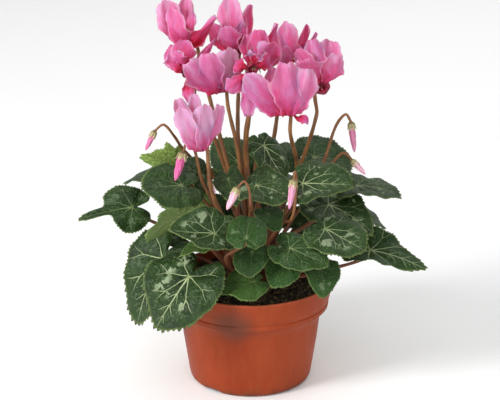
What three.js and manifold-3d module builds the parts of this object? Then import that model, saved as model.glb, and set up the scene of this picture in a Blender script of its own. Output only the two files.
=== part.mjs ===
// Potted cyclamen: a plastic nursery pot with soil, a tuber with all its leaf and flower stalks,
// leaf blades, open flowers and hanging buds. Millimetres, +Z up, the front is -Y.
import * as THREE from 'three';
import { mergeVertices } from 'three/addons/utils/BufferGeometryUtils.js';
import Module from 'manifold-3d';

const wasm = await Module();
wasm.setup();

// Driving dimensions
const POT_HEIGHT = 80;
const POT_RIM_RADIUS = 61;
const POT_FOOT_RADIUS = 45.8;
const POT_FLOOR = 2.4;
const POT_SIDES = 28;
const NOTCH_AZIMUTHS = [-39.5, 80.5, 200.5];
const NOTCH_WIDTH = 16;
const NOTCH_HEIGHT = 3.2;
const SOIL_LEVEL = 72.5;
const SOIL_GAP = 0.3;
const TUBER_RADIUS = 23;
const TUBER_HALF_HEIGHT = 13;
const TUBER_CENTRE = 72;
const BLADE_THICKNESS = 0.8;
const PETAL_THICKNESS = 0.7;
const JOINT_GAP = 0.45;
const FINE_RIM_POINTS = 30;
const PLAIN_RIM_POINTS = 22;
const LEAF_STALK_RADIUS = 1.3;
const FLOWER_STALK_RADIUS = 1.6;
const TAPER_ANGLE = 0.5;
const TAPER_SPREAD = 0.38;
// Hook of a flower stalk: distance from the flower's axis and height over its mouth
const FLOWER_HOOK = [[9.3, -14], [9.4, -2], [8.2, 6.2], [4.8, 11.2], [1.2, 11.9]];

const radians = (degrees) => degrees * Math.PI / 180;
const vector = (list) => new THREE.Vector3(list[0], list[1], list[2]);

// Outline of a leaf blade: angle from the tip direction in degrees, reach as a share of the length
const LEAF_OUTLINE = [
  [0, 1.00], [15, 0.90], [30, 0.80], [45, 0.73], [60, 0.68], [75, 0.64], [90, 0.61], [105, 0.59],
  [120, 0.58], [135, 0.56], [150, 0.52], [162, 0.44], [170, 0.30], [175, 0.18], [180, 0.12],
];

// One row per leaf: base is the joint with the stalk, tip the point of the blade, face the way its
// upper side looks. fold lifts both halves, droop lowers the tip, cup lifts the whole edge, turn
// rolls the blade about its midrib towards the tip, in radians.
const LEAVES = [
  { name: 'front_left_big', base: [-44, -52, 99], tip: [-69, -82, 75], face: [-0.15, -0.62, 0.77],
    wide: 1.06, fine: true },
  { name: 'left_hanging', base: [-64, -21, 101], tip: [-90, -36, 58], face: [-0.45, -0.62, 0.5],
    wide: 0.9, lobe: 0.85, fine: true },
  { name: 'far_left', base: [-87, -5, 135], tip: [-129, -20, 136], face: [-0.1, -0.75, 0.62], wide: 0.7,
    lobe: 0.7, taper: 0.38, turn: 0.5, fine: true },
  { name: 'left_dark', base: [-49, -31, 161], tip: [-79, -48, 168], face: [-0.3, -0.6, 0.7], wide: 0.95,
    fine: true },
  { name: 'left_top_small', base: [-54, -7, 168], tip: [-72, -15, 180], face: [-0.2, -0.75, 0.6],
    lobe: 0.6 },
  { name: 'left_back', base: [-67, 20, 153], tip: [-96, 26, 150], face: [-0.2, 0.0, 1.0] },
  { name: 'left_centre', base: [-25, -60, 135], tip: [-58, -68, 143], face: [-0.15, -0.55, 0.85],
    wide: 0.88, fold: 0.5, fine: true, way: [[-11, -30, 101], [-16, -48, 120]] },
  { name: 'left_low', base: [-29, -40, 120], tip: [-54, -50, 117], face: [0, 0.2, 0.98], wide: 0.8,
    lobe: 0.6 },
  { name: 'left_underside', base: [-50, -24, 136], tip: [-78, -34, 127], face: [-0.25, 0.75, 0.6] },
  { name: 'behind_flower', base: [-34, -2, 158], tip: [-49, -13, 173], face: [-0.2, -0.6, 0.75],
    wide: 0.92 },
  { name: 'centre', base: [-3, -72, 136], tip: [0, -45, 149], face: [0, -0.42, 0.9], wide: 0.78, lobe: 0.6,
    fine: true, way: [[-14, -34, 98], [-17, -52, 115]] },
  { name: 'centre_dark', base: [-16, -27, 165], tip: [-11, -50, 155], face: [-0.1, -0.5, 0.85], wide: 0.7 },
  { name: 'centre_upper', base: [4, -42, 165], tip: [27, -62, 167], face: [0.2, -0.62, 0.75], fine: true },
  { name: 'under_centre', base: [12, -40, 143], tip: [22, -52, 137], face: [0, -0.4, 0.9] },
  { name: 'top_centre', base: [9.5, 1, 181], tip: [26.5, -20, 162], face: [0.35, -0.6, 0.7], wide: 0.7,
    lobe: 0.75, fine: true },
  { name: 'top_left', base: [-9, 22, 161], tip: [-28, 34, 177], face: [-0.1, -0.7, 0.7] },
  { name: 'top_right_dark', base: [25, 28, 160], tip: [29, 44, 172], face: [0, -0.7, 0.7] },
  { name: 'top_right_back', base: [47, 28, 163], tip: [80, 37, 160], face: [0.1, -0.5, 0.85] },
  { name: 'right_upper', base: [37, -33, 163], tip: [73, -45, 171], face: [0.1, -0.42, 0.9], fold: 0.2,
    lobe: 0.5, fine: true },
  { name: 'right_far', base: [78, 0, 150], tip: [111, -5, 151], face: [0.1, -0.1, 0.99], fine: true },
  { name: 'right_mid', base: [57, -16, 141], tip: [88, -38, 135], face: [0.2, -0.45, 0.87] },
  { name: 'right_big', base: [53, -50, 135], tip: [83, -73, 130], face: [0.22, -0.52, 0.82], wide: 0.92,
    lobe: 0.68, fine: true },
  { name: 'right_back_low', base: [80, 7, 128], tip: [104, 15, 115], face: [0.4, -0.1, 0.85] },
  { name: 'far_right_big', base: [87, -25, 109], tip: [127, -45, 109], face: [0.15, -0.35, 0.92],
    wide: 0.78, fold: 0.25, taper: 0.25, fine: true },
  { name: 'right_underside', base: [50, -20, 118], tip: [62, -24, 110], face: [0.2, 0.5, 0.8] },
  { name: 'front_right', base: [28, -60, 124], tip: [56, -75, 119.5], face: [0.1, -0.6, 0.8], wide: 0.82,
    fold: 0.2, fine: true, way: [[24, -26, 101], [33, -41, 119]] },
  { name: 'front_low_centre', base: [27, -49, 110], tip: [14, -66, 98.5], face: [-0.35, -0.65, 0.7],
    fine: true },
  { name: 'front_low_right', base: [50, -57, 108], tip: [53.5, -75, 96.5], face: [0.35, -0.65, 0.65],
    wide: 1.12, fine: true },
  { name: 'front_low_left', base: [1, -52, 118], tip: [-1, -69, 105], face: [-0.1, -0.7, 0.7],
    way: [[1, -22, 103], [1, -38, 113]] },
  { name: 'soil_front', base: [3, -49, 94], tip: [-22, -60, 92], face: [0, -0.3, 0.95], lobe: 0.65 },
  { name: 'back_low_1', base: [56, 32, 112], tip: [90, 52, 100], face: [0.3, 0.15, 0.93], wide: 0.9 },
  { name: 'back_low_2', base: [35, 51, 104], tip: [58, 83, 92], face: [0.2, 0.3, 0.93], wide: 0.9 },
  { name: 'back_low_3', base: [11, 61, 112], tip: [18, 103, 100], face: [0.1, 0.35, 0.93] },
  { name: 'back_low_4', base: [-19, 59, 106], tip: [-32, 98, 94], face: [-0.1, 0.35, 0.93] },
  { name: 'back_low_5', base: [-42, 46, 112], tip: [-68, 77, 100], face: [-0.25, 0.25, 0.93] },
  { name: 'back_low_6', base: [-58, 24, 100], tip: [-92, 40, 88], face: [-0.3, 0.1, 0.93] },
  { name: 'back_high_1', base: [20.5, 43.5, 141], tip: [38.5, 74.5, 137], face: [0.2, 0.3, 0.93] },
  { name: 'back_high_2', base: [-8, 46, 150], tip: [-14, 84, 146], face: [0, 0.35, 0.93] },
  { name: 'back_high_3', base: [-34, 30, 146], tip: [-62, 54, 142], face: [-0.25, 0.25, 0.93] },
  { name: 'back_mid', base: [46, 30, 130], tip: [80, 54, 122], face: [0.25, 0.2, 0.93] },
];

// One row per flower: mouth is the centre of the throat, up points from the mouth to the calyx,
// stalk_side is where the stalk rises past the cup, way lists points the stalk passes on its way up.
// Each petal gives its tip, its half width and the azimuth its broad side faces: 0 is the front,
// 90 the right.
const FLOWERS = [
  { name: 'far_left', mouth: [-47, -5, 257], up: [-0.2, 0.1, 1], stalk_side: [0.93, 0.37, 0],
    way: [[-8, -1, 130], [-20, -2, 180]],
    petals: [[-61, 4, 286, 8, -20], [-54, -16, 285, 9, -5], [-46, 12, 286, 6.3, -10], [-24, -14, 279, 6, 10],
      [-57, 15, 277, 6.5, -60]] },
  { name: 'left_back', mouth: [-45, -12, 236], up: [0.1, 0.1, 1], stalk_side: [0.7, 0.7, 0],
    way: [[-10, 3, 130], [-24, 2, 180]],
    petals: [[-48, -18, 263, 7, 0], [-58, -4, 255, 6.5, -40], [-25, -10, 264, 4, 0], [-44, -24, 222, 6, 0],
      [-54, -24, 256, 7.5, -20]] },
  { name: 'left_centre', mouth: [-22, -22, 228], up: [-0.1, 0, 1], stalk_side: [0.5, 0.85, 0],
    way: [[-4, -5, 130], [-9, -10, 180]],
    petals: [[-43, -32, 251, 8.5, -15], [-30, -37, 258, 8, -5], [-15, -30, 260, 8, 20],
      [-8, -16, 248, 6.5, 60], [-33, -19, 254, 5.5, -45]] },
  { name: 'top', mouth: [-11, 8, 249], up: [0, 0, 1], stalk_side: [0.3, 0.95, 0],
    way: [[-3, 2, 130], [-9, 8, 185]],
    petals: [[-15, 2, 289, 8, 0], [-27, 4, 269, 5.5, -30], [-17, -10, 271, 7.5, -10], [1, 12, 283, 5, 20],
      [-5, 0, 277, 5, 20]] },
  { name: 'upper_right', mouth: [5, -11, 244], up: [0.1, 0, 1], stalk_side: [-0.1, 1, 0],
    way: [[-1, -4, 130], [-4, -8, 185]],
    petals: [[18, -8, 274, 6.3, 50], [6, -20, 271, 6.5, 0], [16, -25, 263, 8, 15], [-2, -12, 266, 5, 0],
      [19.5, -8, 256, 5.6, 50]] },
  { name: 'centre', mouth: [2, -36, 242], up: [-0.1, 0.5, 1], stalk_side: [-0.3, 0.9, 0],
    way: [[1, -6, 130], [-3, -16, 185]],
    petals: [[-15, -42, 236, 5.5, 0], [13, -36, 256, 6, 0], [4, -47, 262, 5, 0], [-2, -42, 218, 5.5, 0],
      [-9, -36, 253, 6, -20]] },
  { name: 'right_low', mouth: [27, -42, 218], up: [0.05, 0.1, 1], stalk_side: [0.2, 1, 0],
    way: [[14, -4, 120], [33, -6, 162]],
    petals: [[-1, -46, 246, 9, -10], [24, -62, 258, 9, -5], [38, -57, 253, 9, 15], [15.5, -34, 247, 6.8, -32],
      [40, -50, 213, 4, 20]] },
  { name: 'right_back', mouth: [31, 15, 240], up: [0, 0, 1], stalk_side: [-0.95, 0.3, 0],
    way: [[4, 8, 125], [17, 22, 178]],
    petals: [[27, 8, 269, 8, 0], [15, 8, 259, 8, -20], [40, 18, 267, 4.5, 10], [48, 20, 260, 6, 20],
      [22, 2, 252, 6, -20]] },
  { name: 'right', mouth: [51, -14, 225], up: [-0.1, 0.45, 1], stalk_side: [-0.5, 0.85, 0],
    way: [[16, 2, 120], [36, 1, 165]],
    petals: [[60, -26, 255, 9, 15], [38, -34, 253, 8, -10], [56, -3, 259, 8, 5], [44, -8, 261, 7, -5],
      [34, -14, 255, 6.5, -20]] },
  { name: 'front_low', mouth: [-35, -58, 196], up: [-0.05, 0, 1], stalk_side: [0.5, 0.85, 0],
    way: [[-12, -26, 118], [-27, -45, 160]],
    petals: [[-47, -70, 229, 8.5, -10], [-50, -50, 230, 6.5, -20], [-39, -45, 232, 5, 0],
      [-31, -70, 231, 7.5, 5], [-22, -61, 229, 6, 35]] },
];

// One row per hanging bud: path runs from the crown side over the hook to the calyx, tip ends the bud
const BUDS = [
  { name: 'far_left', path: [[-22, 0, 130], [-41.5, 7, 166], [-50, -6, 182], [-55, -19, 195],
    [-62, -22, 204], [-68, -24, 200]], tip: [-75, -26, 186], radius: 2.0 },
  { name: 'left_pink', path: [[-16, -20, 125], [-34, -38, 166], [-40, -44, 194], [-45, -47, 198],
    [-47, -48, 192]],
    tip: [-53, -52, 172], radius: 3.0 },
  { name: 'green', path: [[-10, -12, 130], [-27, -20, 165], [-29, -28, 173], [-30, -33, 171],
    [-30, -35, 166]],
    tip: [-25, -37, 157], radius: 1.6 },
  { name: 'pale', path: [[-2, -26, 115], [0, -36, 143], [1, -54, 151], [0, -68.5, 160], [-1, -67, 171],
    [-4.5, -68, 177], [-8.5, -69, 173]], tip: [-16.5, -72, 157.5], radius: 2.6 },
  { name: 'centre_right', path: [[12, -22, 112], [24, -40, 136], [28.5, -54, 143], [31, -62, 156],
    [32, -64, 178], [31, -68, 184], [30, -72, 180]], tip: [27, -75, 159], radius: 2.4 },
  { name: 'right_top', path: [[24, 4, 120], [52, 1, 165], [62, 0, 196], [69, 0, 205], [73, 0, 199]],
    tip: [76, 0, 176], radius: 2.4 },
  { name: 'far_right', path: [[26, 2, 115], [56, 6, 160], [67, 4, 174], [71, 3, 173], [74, 0, 170]],
    tip: [84, -6, 161], radius: 2.0 },
];

// Reach of the leaf outline at an angle from the tip direction
function leafReach(angle) {
  const degrees = Math.abs(angle) * 180 / Math.PI;
  for (let i = 1; i < LEAF_OUTLINE.length; i += 1) {
    const [before, low] = LEAF_OUTLINE[i - 1];
    const [after, high] = LEAF_OUTLINE[i];
    if (degrees <= after + 1e-9) {
      return low + (high - low) * (degrees - before) / (after - before);
    }
  }
  return LEAF_OUTLINE[LEAF_OUTLINE.length - 1][1];
}

// Axes of a leaf: along runs from the stalk joint to the tip, normal is the upper side
function leafAxes(leaf) {
  const base = vector(leaf.base);
  const along = vector(leaf.tip).sub(base);
  const length = along.length();
  along.normalize();
  const normal = vector(leaf.face);
  normal.addScaledVector(along, -normal.dot(along)).normalize();
  const across = new THREE.Vector3().crossVectors(normal, along);
  return { base, along, across, normal, length };
}

// Height of the leaf surface over its plane at u along and v across
function leafHeight(leaf, length, u, v, share, angle) {
  const { fold = 0.12, droop = 0.12, cup = -0.05, wave = 1.5, phase = 0 } = leaf;
  const crease = 0.08 * length;
  const lifted = fold * (Math.hypot(v, crease) - crease);
  const lowered = droop * Math.max(0, u) ** 2 / length;
  const cupped = cup * (u * u + v * v) / length;
  const waved = wave * share ** 3 * Math.sin(4 * angle + phase) * length / 40;
  return lifted - lowered + cupped + waved;
}

// World point of a leaf at a share of the outline reach along an angle. lobe shortens the back
// lobes, and taper draws the shoulders in beside a long tip.
function leafPoint(leaf, axes, share, angle, tooth) {
  const behind = Math.min(1, Math.max(0, Math.abs(angle) / Math.PI * 3 - 1.5));
  const lobe = 1 + ((leaf.lobe ?? 1) - 1) * behind;
  const shoulder = (Math.abs(angle) - TAPER_ANGLE) / TAPER_SPREAD;
  const taper = 1 - (leaf.taper ?? 0) * Math.exp(-shoulder * shoulder);
  const reach = leafReach(angle) * axes.length * share * tooth * lobe * taper;
  const u = reach * Math.cos(angle);
  const v = reach * Math.sin(angle) * (leaf.wide ?? 1);
  const height = leafHeight(leaf, axes.length, u, v, share, angle);
  const roll = (leaf.turn ?? 0) * Math.min(1, Math.max(0, u / axes.length * 1.4));
  return axes.base.clone()
    .addScaledVector(axes.along, u)
    .addScaledVector(axes.across, v * Math.cos(roll) - height * Math.sin(roll))
    .addScaledVector(axes.normal, v * Math.sin(roll) + height * Math.cos(roll));
}

// Closed sheet: the same triangles on both sides of a middle surface, joined along its edge loop
function thickSheet(points, triangles, edge, thickness) {
  const normals = points.map(() => new THREE.Vector3());
  const sideA = new THREE.Vector3();
  const sideB = new THREE.Vector3();
  for (const [a, b, c] of triangles) {
    sideA.subVectors(points[b], points[a]);
    sideB.subVectors(points[c], points[a]);
    sideA.cross(sideB);
    normals[a].add(sideA);
    normals[b].add(sideA);
    normals[c].add(sideA);
  }
  const count = points.length;
  const vertices = [];
  for (const side of [0.5, -0.5]) {
    for (let i = 0; i < count; i += 1) {
      const shifted = normals[i].clone().normalize().multiplyScalar(side * thickness).add(points[i]);
      vertices.push(shifted.x, shifted.y, shifted.z);
    }
  }
  const faces = [];
  for (const [a, b, c] of triangles) {
    faces.push(a, b, c);
    faces.push(a + count, c + count, b + count);
  }
  for (let i = 0; i < edge.length; i += 1) {
    const here = edge[i];
    const next = edge[(i + 1) % edge.length];
    faces.push(here, here + count, next + count);
    faces.push(here, next + count, next);
  }
  return { vertices, faces };
}

// Leaf blade with a toothed edge
function leafBlade(leaf) {
  const axes = leafAxes(leaf);
  const rimCount = leaf.fine ? FINE_RIM_POINTS : PLAIN_RIM_POINTS;
  const ringCount = leaf.fine ? 10 : 8;
  const points = [leafPoint(leaf, axes, 0, 0, 1)];
  for (let i = 0; i < ringCount; i += 1) {
    const angle = -Math.PI + 2 * Math.PI * i / ringCount;
    points.push(leafPoint(leaf, axes, 0.55, angle, 1));
  }
  for (let i = 0; i < rimCount; i += 1) {
    const angle = -Math.PI + 2 * Math.PI * i / rimCount;
    points.push(leafPoint(leaf, axes, 1, angle, i % 2 ? 0.955 : 1));
  }
  const ring = (i) => 1 + (i + ringCount) % ringCount;
  const rim = (i) => 1 + ringCount + (i + rimCount) % rimCount;
  const triangles = [];
  for (let i = 0; i < ringCount; i += 1) {
    triangles.push([0, ring(i), ring(i + 1)]);
  }
  let inner = 0;
  for (let i = 0; i < rimCount; i += 1) {
    triangles.push([ring(inner), rim(i), rim(i + 1)]);
    const passed = (i + 2) / rimCount * ringCount;
    if (passed >= inner + 1 - 1e-9 && inner < ringCount) {
      triangles.push([ring(inner), rim(i + 1), ring(inner + 1)]);
      inner += 1;
    }
  }
  const edge = [];
  for (let i = 0; i < rimCount; i += 1) {
    edge.push(rim(i));
  }
  return thickSheet(points, triangles, edge, BLADE_THICKNESS);
}

// Tube through points with a radius at each; capPlane turns the last ring parallel to a blade
function tube(points, radii, sides, capPlane) {
  const vertices = [];
  const faces = [];
  const tangent = new THREE.Vector3();
  let side = new THREE.Vector3(1, 0.2, 0.1);
  points.forEach((point, i) => {
    const ahead = points[Math.min(i + 1, points.length - 1)];
    const behind = points[Math.max(i - 1, 0)];
    tangent.subVectors(ahead, behind).normalize();
    side = side.clone().addScaledVector(tangent, -side.dot(tangent)).normalize();
    const other = new THREE.Vector3().crossVectors(tangent, side);
    for (let k = 0; k < sides; k += 1) {
      const turn = 2 * Math.PI * k / sides;
      const place = point.clone()
        .addScaledVector(side, radii[i] * Math.cos(turn))
        .addScaledVector(other, radii[i] * Math.sin(turn));
      if (capPlane && i === points.length - 1) {
        const slant = capPlane.dot(tangent);
        const drop = place.clone().sub(point).dot(capPlane) / slant;
        place.addScaledVector(tangent, -drop);
      }
      vertices.push(place.x, place.y, place.z);
    }
  });
  for (let i = 0; i + 1 < points.length; i += 1) {
    for (let k = 0; k < sides; k += 1) {
      const a = i * sides + k;
      const b = i * sides + (k + 1) % sides;
      faces.push(a, b, b + sides);
      faces.push(a, b + sides, a + sides);
    }
  }
  const last = (points.length - 1) * sides;
  for (let k = 1; k + 1 < sides; k += 1) {
    faces.push(0, k + 1, k);
    faces.push(last, last + k, last + k + 1);
  }
  return { vertices, faces };
}

// Solid of revolution about an axis, from a closed ring of radius and height pairs that starts
// and ends on the axis
function spindle(origin, up, profile, sides, twist = 0) {
  const side = new THREE.Vector3(1, 0.3, 0.2);
  side.addScaledVector(up, -side.dot(up)).normalize();
  const other = new THREE.Vector3().crossVectors(up, side);
  const vertices = [];
  const faces = [];
  const rows = [];
  profile.forEach(([radius, height], row) => {
    const centre = origin.clone().addScaledVector(up, height);
    if (radius < 1e-6) {
      rows.push([vertices.length / 3]);
      vertices.push(centre.x, centre.y, centre.z);
      return;
    }
    const first = vertices.length / 3;
    rows.push(Array.from({ length: sides }, (_, k) => first + k));
    for (let k = 0; k < sides; k += 1) {
      const turn = 2 * Math.PI * k / sides + twist * row;
      const place = centre.clone()
        .addScaledVector(side, radius * Math.cos(turn))
        .addScaledVector(other, radius * Math.sin(turn));
      vertices.push(place.x, place.y, place.z);
    }
  });
  for (let row = 0; row + 1 < rows.length; row += 1) {
    const low = rows[row];
    const high = rows[row + 1];
    for (let k = 0; k < sides; k += 1) {
      const next = (k + 1) % sides;
      if (low.length > 1) {
        faces.push(low[k], low[next], high.length > 1 ? high[next] : high[0]);
      }
      if (high.length > 1) {
        faces.push(low.length > 1 ? low[k] : low[0], high[next], high[k]);
      }
    }
  }
  return { vertices, faces };
}

function solidOf({ vertices, faces }) {
  const mesh = new wasm.Mesh({
    numProp: 3,
    vertProperties: new Float32Array(vertices),
    triVerts: new Uint32Array(faces),
  });
  mesh.merge();
  return new wasm.Manifold(mesh);
}

function geometryOf(solid) {
  const mesh = solid.getMesh();
  const geometry = new THREE.BufferGeometry();
  geometry.setAttribute('position', new THREE.BufferAttribute(new Float32Array(mesh.vertProperties), 3));
  geometry.setIndex(new THREE.BufferAttribute(new Uint32Array(mesh.triVerts), 1));
  return geometry;
}

function solidOfGeometry(source) {
  const bare = new THREE.BufferGeometry();
  bare.setAttribute('position', source.getAttribute('position'));
  if (source.index) {
    bare.setIndex(source.index);
  }
  const merged = mergeVertices(bare, 1e-4);
  return solidOf({
    vertices: Array.from(merged.getAttribute('position').array),
    faces: Array.from(merged.index.array),
  });
}

// Lathe about Z from radius and height pairs
function turned(profile, sides) {
  const outline = profile.map(([radius, height]) => new THREE.Vector2(radius, height));
  const geometry = new THREE.LatheGeometry(outline, sides);
  geometry.rotateX(Math.PI / 2);
  return solidOfGeometry(geometry);
}

// Pot: tapered wall, stepped flare, collar, rounded foot, three drain notches with their holes
function potSolid() {
  const outside = [
    [0, 0], [40.5, 0], [44.6, 1.5], [POT_FOOT_RADIUS, 5], [50.4, 35], [52.2, 51], [54.2, 54.6],
    [56.8, 57.6], [58.2, 58.2], [58.6, 61.4], [57.9, 62.1], [59.6, 66], [60.5, 73],
    [POT_RIM_RADIUS, POT_HEIGHT - 0.4],
  ];
  const inside = [
    [POT_RIM_RADIUS - 0.5, POT_HEIGHT], [POT_RIM_RADIUS - 1.5, POT_HEIGHT], [58.9, 73],
    [56.3, 61], [50.8, 51], [49, 35], [44.4, 6], [43.3, POT_FLOOR], [0, POT_FLOOR],
  ];
  let pot = turned([...outside, ...inside], POT_SIDES);
  for (const azimuth of NOTCH_AZIMUTHS) {
    const turn = radians(azimuth);
    const box = new THREE.BoxGeometry(NOTCH_WIDTH, 16, NOTCH_HEIGHT + 2);
    box.translate(0, -41.5, NOTCH_HEIGHT / 2 - 1);
    box.rotateZ(turn);
    pot = pot.subtract(solidOfGeometry(box));
  }
  return pot;
}

// Soil: fills the pot a hair inside its wall, with a lumpy top and a plain hole for the tuber
function soilSolid() {
  const gap = SOIL_GAP;
  const edge = 58.9 - gap;
  const outline = [
    [0, POT_FLOOR + 1.6], [43.2 - gap, POT_FLOOR + 1.6], [44.4 - gap, 6.4], [50.8 - gap, 51.2],
    [56.3 - gap, 61.2], [edge - 0.4, SOIL_LEVEL - 0.6], [49, SOIL_LEVEL + 1], [36, SOIL_LEVEL + 1.2],
    [0, SOIL_LEVEL],
  ];
  const lathe = new THREE.LatheGeometry(outline.map(([r, z]) => new THREE.Vector2(r, z)), POT_SIDES);
  lathe.rotateX(Math.PI / 2);
  const position = lathe.getAttribute('position');
  for (let i = 0; i < position.count; i += 1) {
    const x = position.getX(i);
    const y = position.getY(i);
    const z = position.getZ(i);
    const inner = Math.hypot(x, y) < 52 && z > SOIL_LEVEL;
    const lump = 0.8 * Math.sin(x * 0.31 + 1) * Math.cos(y * 0.27) + 0.5 * Math.sin(y * 0.9 + x * 0.55);
    if (inner) {
      position.setZ(i, z + lump);
    }
  }
  const hole = spindle(new THREE.Vector3(0, 0, TUBER_CENTRE), new THREE.Vector3(0, 0, 1),
    tuberProfile(gap), 12);
  return solidOfGeometry(lathe).subtract(solidOf(hole));
}

function tuberProfile(grown) {
  const rows = [];
  const steps = 6;
  for (let i = 0; i <= steps; i += 1) {
    const lift = -Math.PI / 2 + Math.PI * i / steps;
    const radius = i === 0 || i === steps ? 0 : (TUBER_RADIUS + grown) * Math.cos(lift);
    rows.push([radius, (TUBER_HALF_HEIGHT + grown) * Math.sin(lift)]);
  }
  return rows;
}

// Point on a cubic curve
function curvePoint(a, b, c, d, t) {
  const s = 1 - t;
  return a.clone().multiplyScalar(s * s * s)
    .addScaledVector(b, 3 * s * s * t)
    .addScaledVector(c, 3 * s * t * t)
    .addScaledVector(d, t * t * t);
}

// Point a little under the surface of the tuber, at an azimuth and a distance from its axis
function rootPoint(turn, distance) {
  const swell = Math.sqrt(1 - (distance / TUBER_RADIUS) ** 2);
  return new THREE.Vector3(
    distance * Math.cos(turn),
    distance * Math.sin(turn),
    TUBER_CENTRE + TUBER_HALF_HEIGHT * swell - 3,
  );
}

// Leaf stalk: from a ring on the crown of the tuber to just under the blade. It passes the given
// way points, or two points of a curve that climbs first and arrives from below.
function leafStalk(leaf, order) {
  const axes = leafAxes(leaf);
  const outward = new THREE.Vector3(axes.base.x, axes.base.y, 0).normalize();
  const low = axes.base.z < 126;
  const ring = (low ? 16 : 10.5) + (order % 2) * 3;
  const root = rootPoint(Math.atan2(outward.y, outward.x), ring);
  const end = axes.base.clone().addScaledVector(axes.normal, -(BLADE_THICKNESS / 2 + JOINT_GAP));
  const rise = end.z - root.z;
  const spread = Math.hypot(end.x, end.y);
  const climb = low ? 0.45 : 0.6;
  const first = root.clone().addScaledVector(outward, spread * 0.1);
  first.z += rise * climb;
  const arrive = axes.normal.clone().multiplyScalar(-0.5)
    .addScaledVector(outward, -0.45).add(new THREE.Vector3(0, 0, -0.4)).normalize();
  const second = end.clone().addScaledVector(arrive, Math.min(26, 0.3 * end.distanceTo(root)));
  const near = end.clone().addScaledVector(arrive, 6);
  const way = leaf.way
    ? leaf.way.map(vector)
    : [0.3, 0.62].map((t) => curvePoint(root, first, second, end, t));
  const points = [root, ...way, near, end];
  const radii = points.map((_, i) => LEAF_STALK_RADIUS * (1.15 - 0.3 * i / (points.length - 1)));
  return tube(points, radii, 5, axes.normal);
}

// Axes of a flower about its mouth
function flowerAxes(flower) {
  const up = vector(flower.up).normalize();
  const side = vector(flower.stalk_side);
  side.addScaledVector(up, -side.dot(up)).normalize();
  return { mouth: vector(flower.mouth), up, side };
}

// Stalk of a flower: rises from the crown, passes the cup on its side, hooks over and ends in the
// calyx just over the cup
function flowerStalk(flower, order) {
  const { mouth, up, side } = flowerAxes(flower);
  const local = (out, high) => mouth.clone().addScaledVector(side, out).addScaledVector(up, high);
  const [wayX, wayY] = flower.way[0];
  const points = [rootPoint(Math.atan2(wayY, wayX), order % 2 ? 7.2 : 3.4)];
  points.push(...flower.way.map(vector));
  const radii = points.map((_, i) => FLOWER_STALK_RADIUS * (1.1 - 0.05 * i));
  for (const [out, high] of FLOWER_HOOK) {
    points.push(local(out, high));
    radii.push(high > 0 ? 1.0 : FLOWER_STALK_RADIUS * 0.85);
  }
  points.push(local(0, 10.6), local(0, 9), local(0, 8.5));
  radii.push(1.2, 3.5, 3.2);
  return tube(points, radii, 5);
}

// Petal: leaves the mouth outwards, folds back and runs up to its tip; one with its tip below the
// mouth hangs. Its broad side turns from the rim of the cup to the given azimuth.
function petalSheet(axes, petal) {
  const tip = vector(petal);
  const half = petal[3];
  const azimuth = radians(petal[4]);
  const out = tip.clone().sub(axes.mouth);
  const height = out.dot(axes.up);
  out.addScaledVector(axes.up, -height).normalize();
  const local = (far, high) => axes.mouth.clone().addScaledVector(out, far).addScaledVector(axes.up, high);
  const start = local(2.4, 2.4);
  const low = height > 0 ? local(7, -4) : local(8, 2);
  const bend = height > 0 ? local(9.2, 6.5) : local(9, -10);
  const shown = new THREE.Vector3(Math.sin(azimuth), -Math.cos(azimuth), 0.15);
  const rows = [0, 0.3, 0.66, 1];
  const widths = [0.22, 0.6, 1.02, 0.66];
  const points = [];
  const tangent = new THREE.Vector3();
  rows.forEach((t, row) => {
    const centre = curvePoint(start, low, bend, tip, t);
    const ahead = curvePoint(start, low, bend, tip, Math.min(1, t + 0.02));
    const behind = curvePoint(start, low, bend, tip, Math.max(0, t - 0.02));
    tangent.subVectors(ahead, behind).normalize();
    const rooted = new THREE.Vector3().crossVectors(axes.up, out);
    const facingShown = new THREE.Vector3().crossVectors(tangent, shown).normalize();
    if (facingShown.dot(rooted) < 0) {
      facingShown.negate();
    }
    const broad = rooted.lerp(facingShown, Math.min(1, t / 0.5));
    broad.addScaledVector(tangent, -broad.dot(tangent)).normalize();
    const facing = new THREE.Vector3().crossVectors(broad, tangent);
    for (const across of [-1, 0, 1]) {
      const cupped = 0.2 * half * widths[row] * (1 - across * across);
      const pointed = row === rows.length - 1 ? 0.26 * half * (1 - across * across) : 0;
      points.push(centre.clone()
        .addScaledVector(broad, across * half * widths[row])
        .addScaledVector(facing, cupped)
        .addScaledVector(tangent, pointed));
    }
  });
  const triangles = [];
  for (let row = 0; row + 1 < rows.length; row += 1) {
    for (const k of [0, 1]) {
      const a = row * 3 + k;
      triangles.push([a, a + 1, a + 4]);
      triangles.push([a, a + 4, a + 3]);
    }
  }
  const last = (rows.length - 1) * 3;
  const edge = [0, 1, 2];
  for (let row = 1; row < rows.length; row += 1) {
    edge.push(row * 3 + 2);
  }
  edge.push(last + 1, last);
  for (let row = rows.length - 2; row > 0; row -= 1) {
    edge.push(row * 3);
  }
  return thickSheet(points, triangles, edge, PETAL_THICKNESS);
}

// Corolla: a small cup hollowed at the mouth with five petals fused to its rim
function corolla(flower) {
  const axes = flowerAxes(flower);
  const cup = [[0, 2.6], [4.4, 0.4], [5.2, 3], [4, 6.4], [0, 8]];
  let whole = solidOf(spindle(axes.mouth, axes.up, cup, 6));
  for (const petal of flower.petals) {
    whole = whole.add(solidOf(petalSheet(axes, petal)));
  }
  const bodies = whole.simplify(0.2).decompose();
  return bodies.reduce((best, body) => (body.volume() > best.volume() ? body : best));
}

// Rolled bud, twisted like a closed umbrella
function budBody(bud) {
  const joint = vector(bud.path[bud.path.length - 1]);
  const down = vector(bud.tip).sub(joint);
  const length = down.length();
  down.normalize();
  const r = bud.radius;
  const shape = [[0, 2.95], [r * 0.9, 2.95], [r, length * 0.35], [r * 0.8, length * 0.65], [0, length]];
  return spindle(joint, down, shape, 6, 0.35);
}

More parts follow.
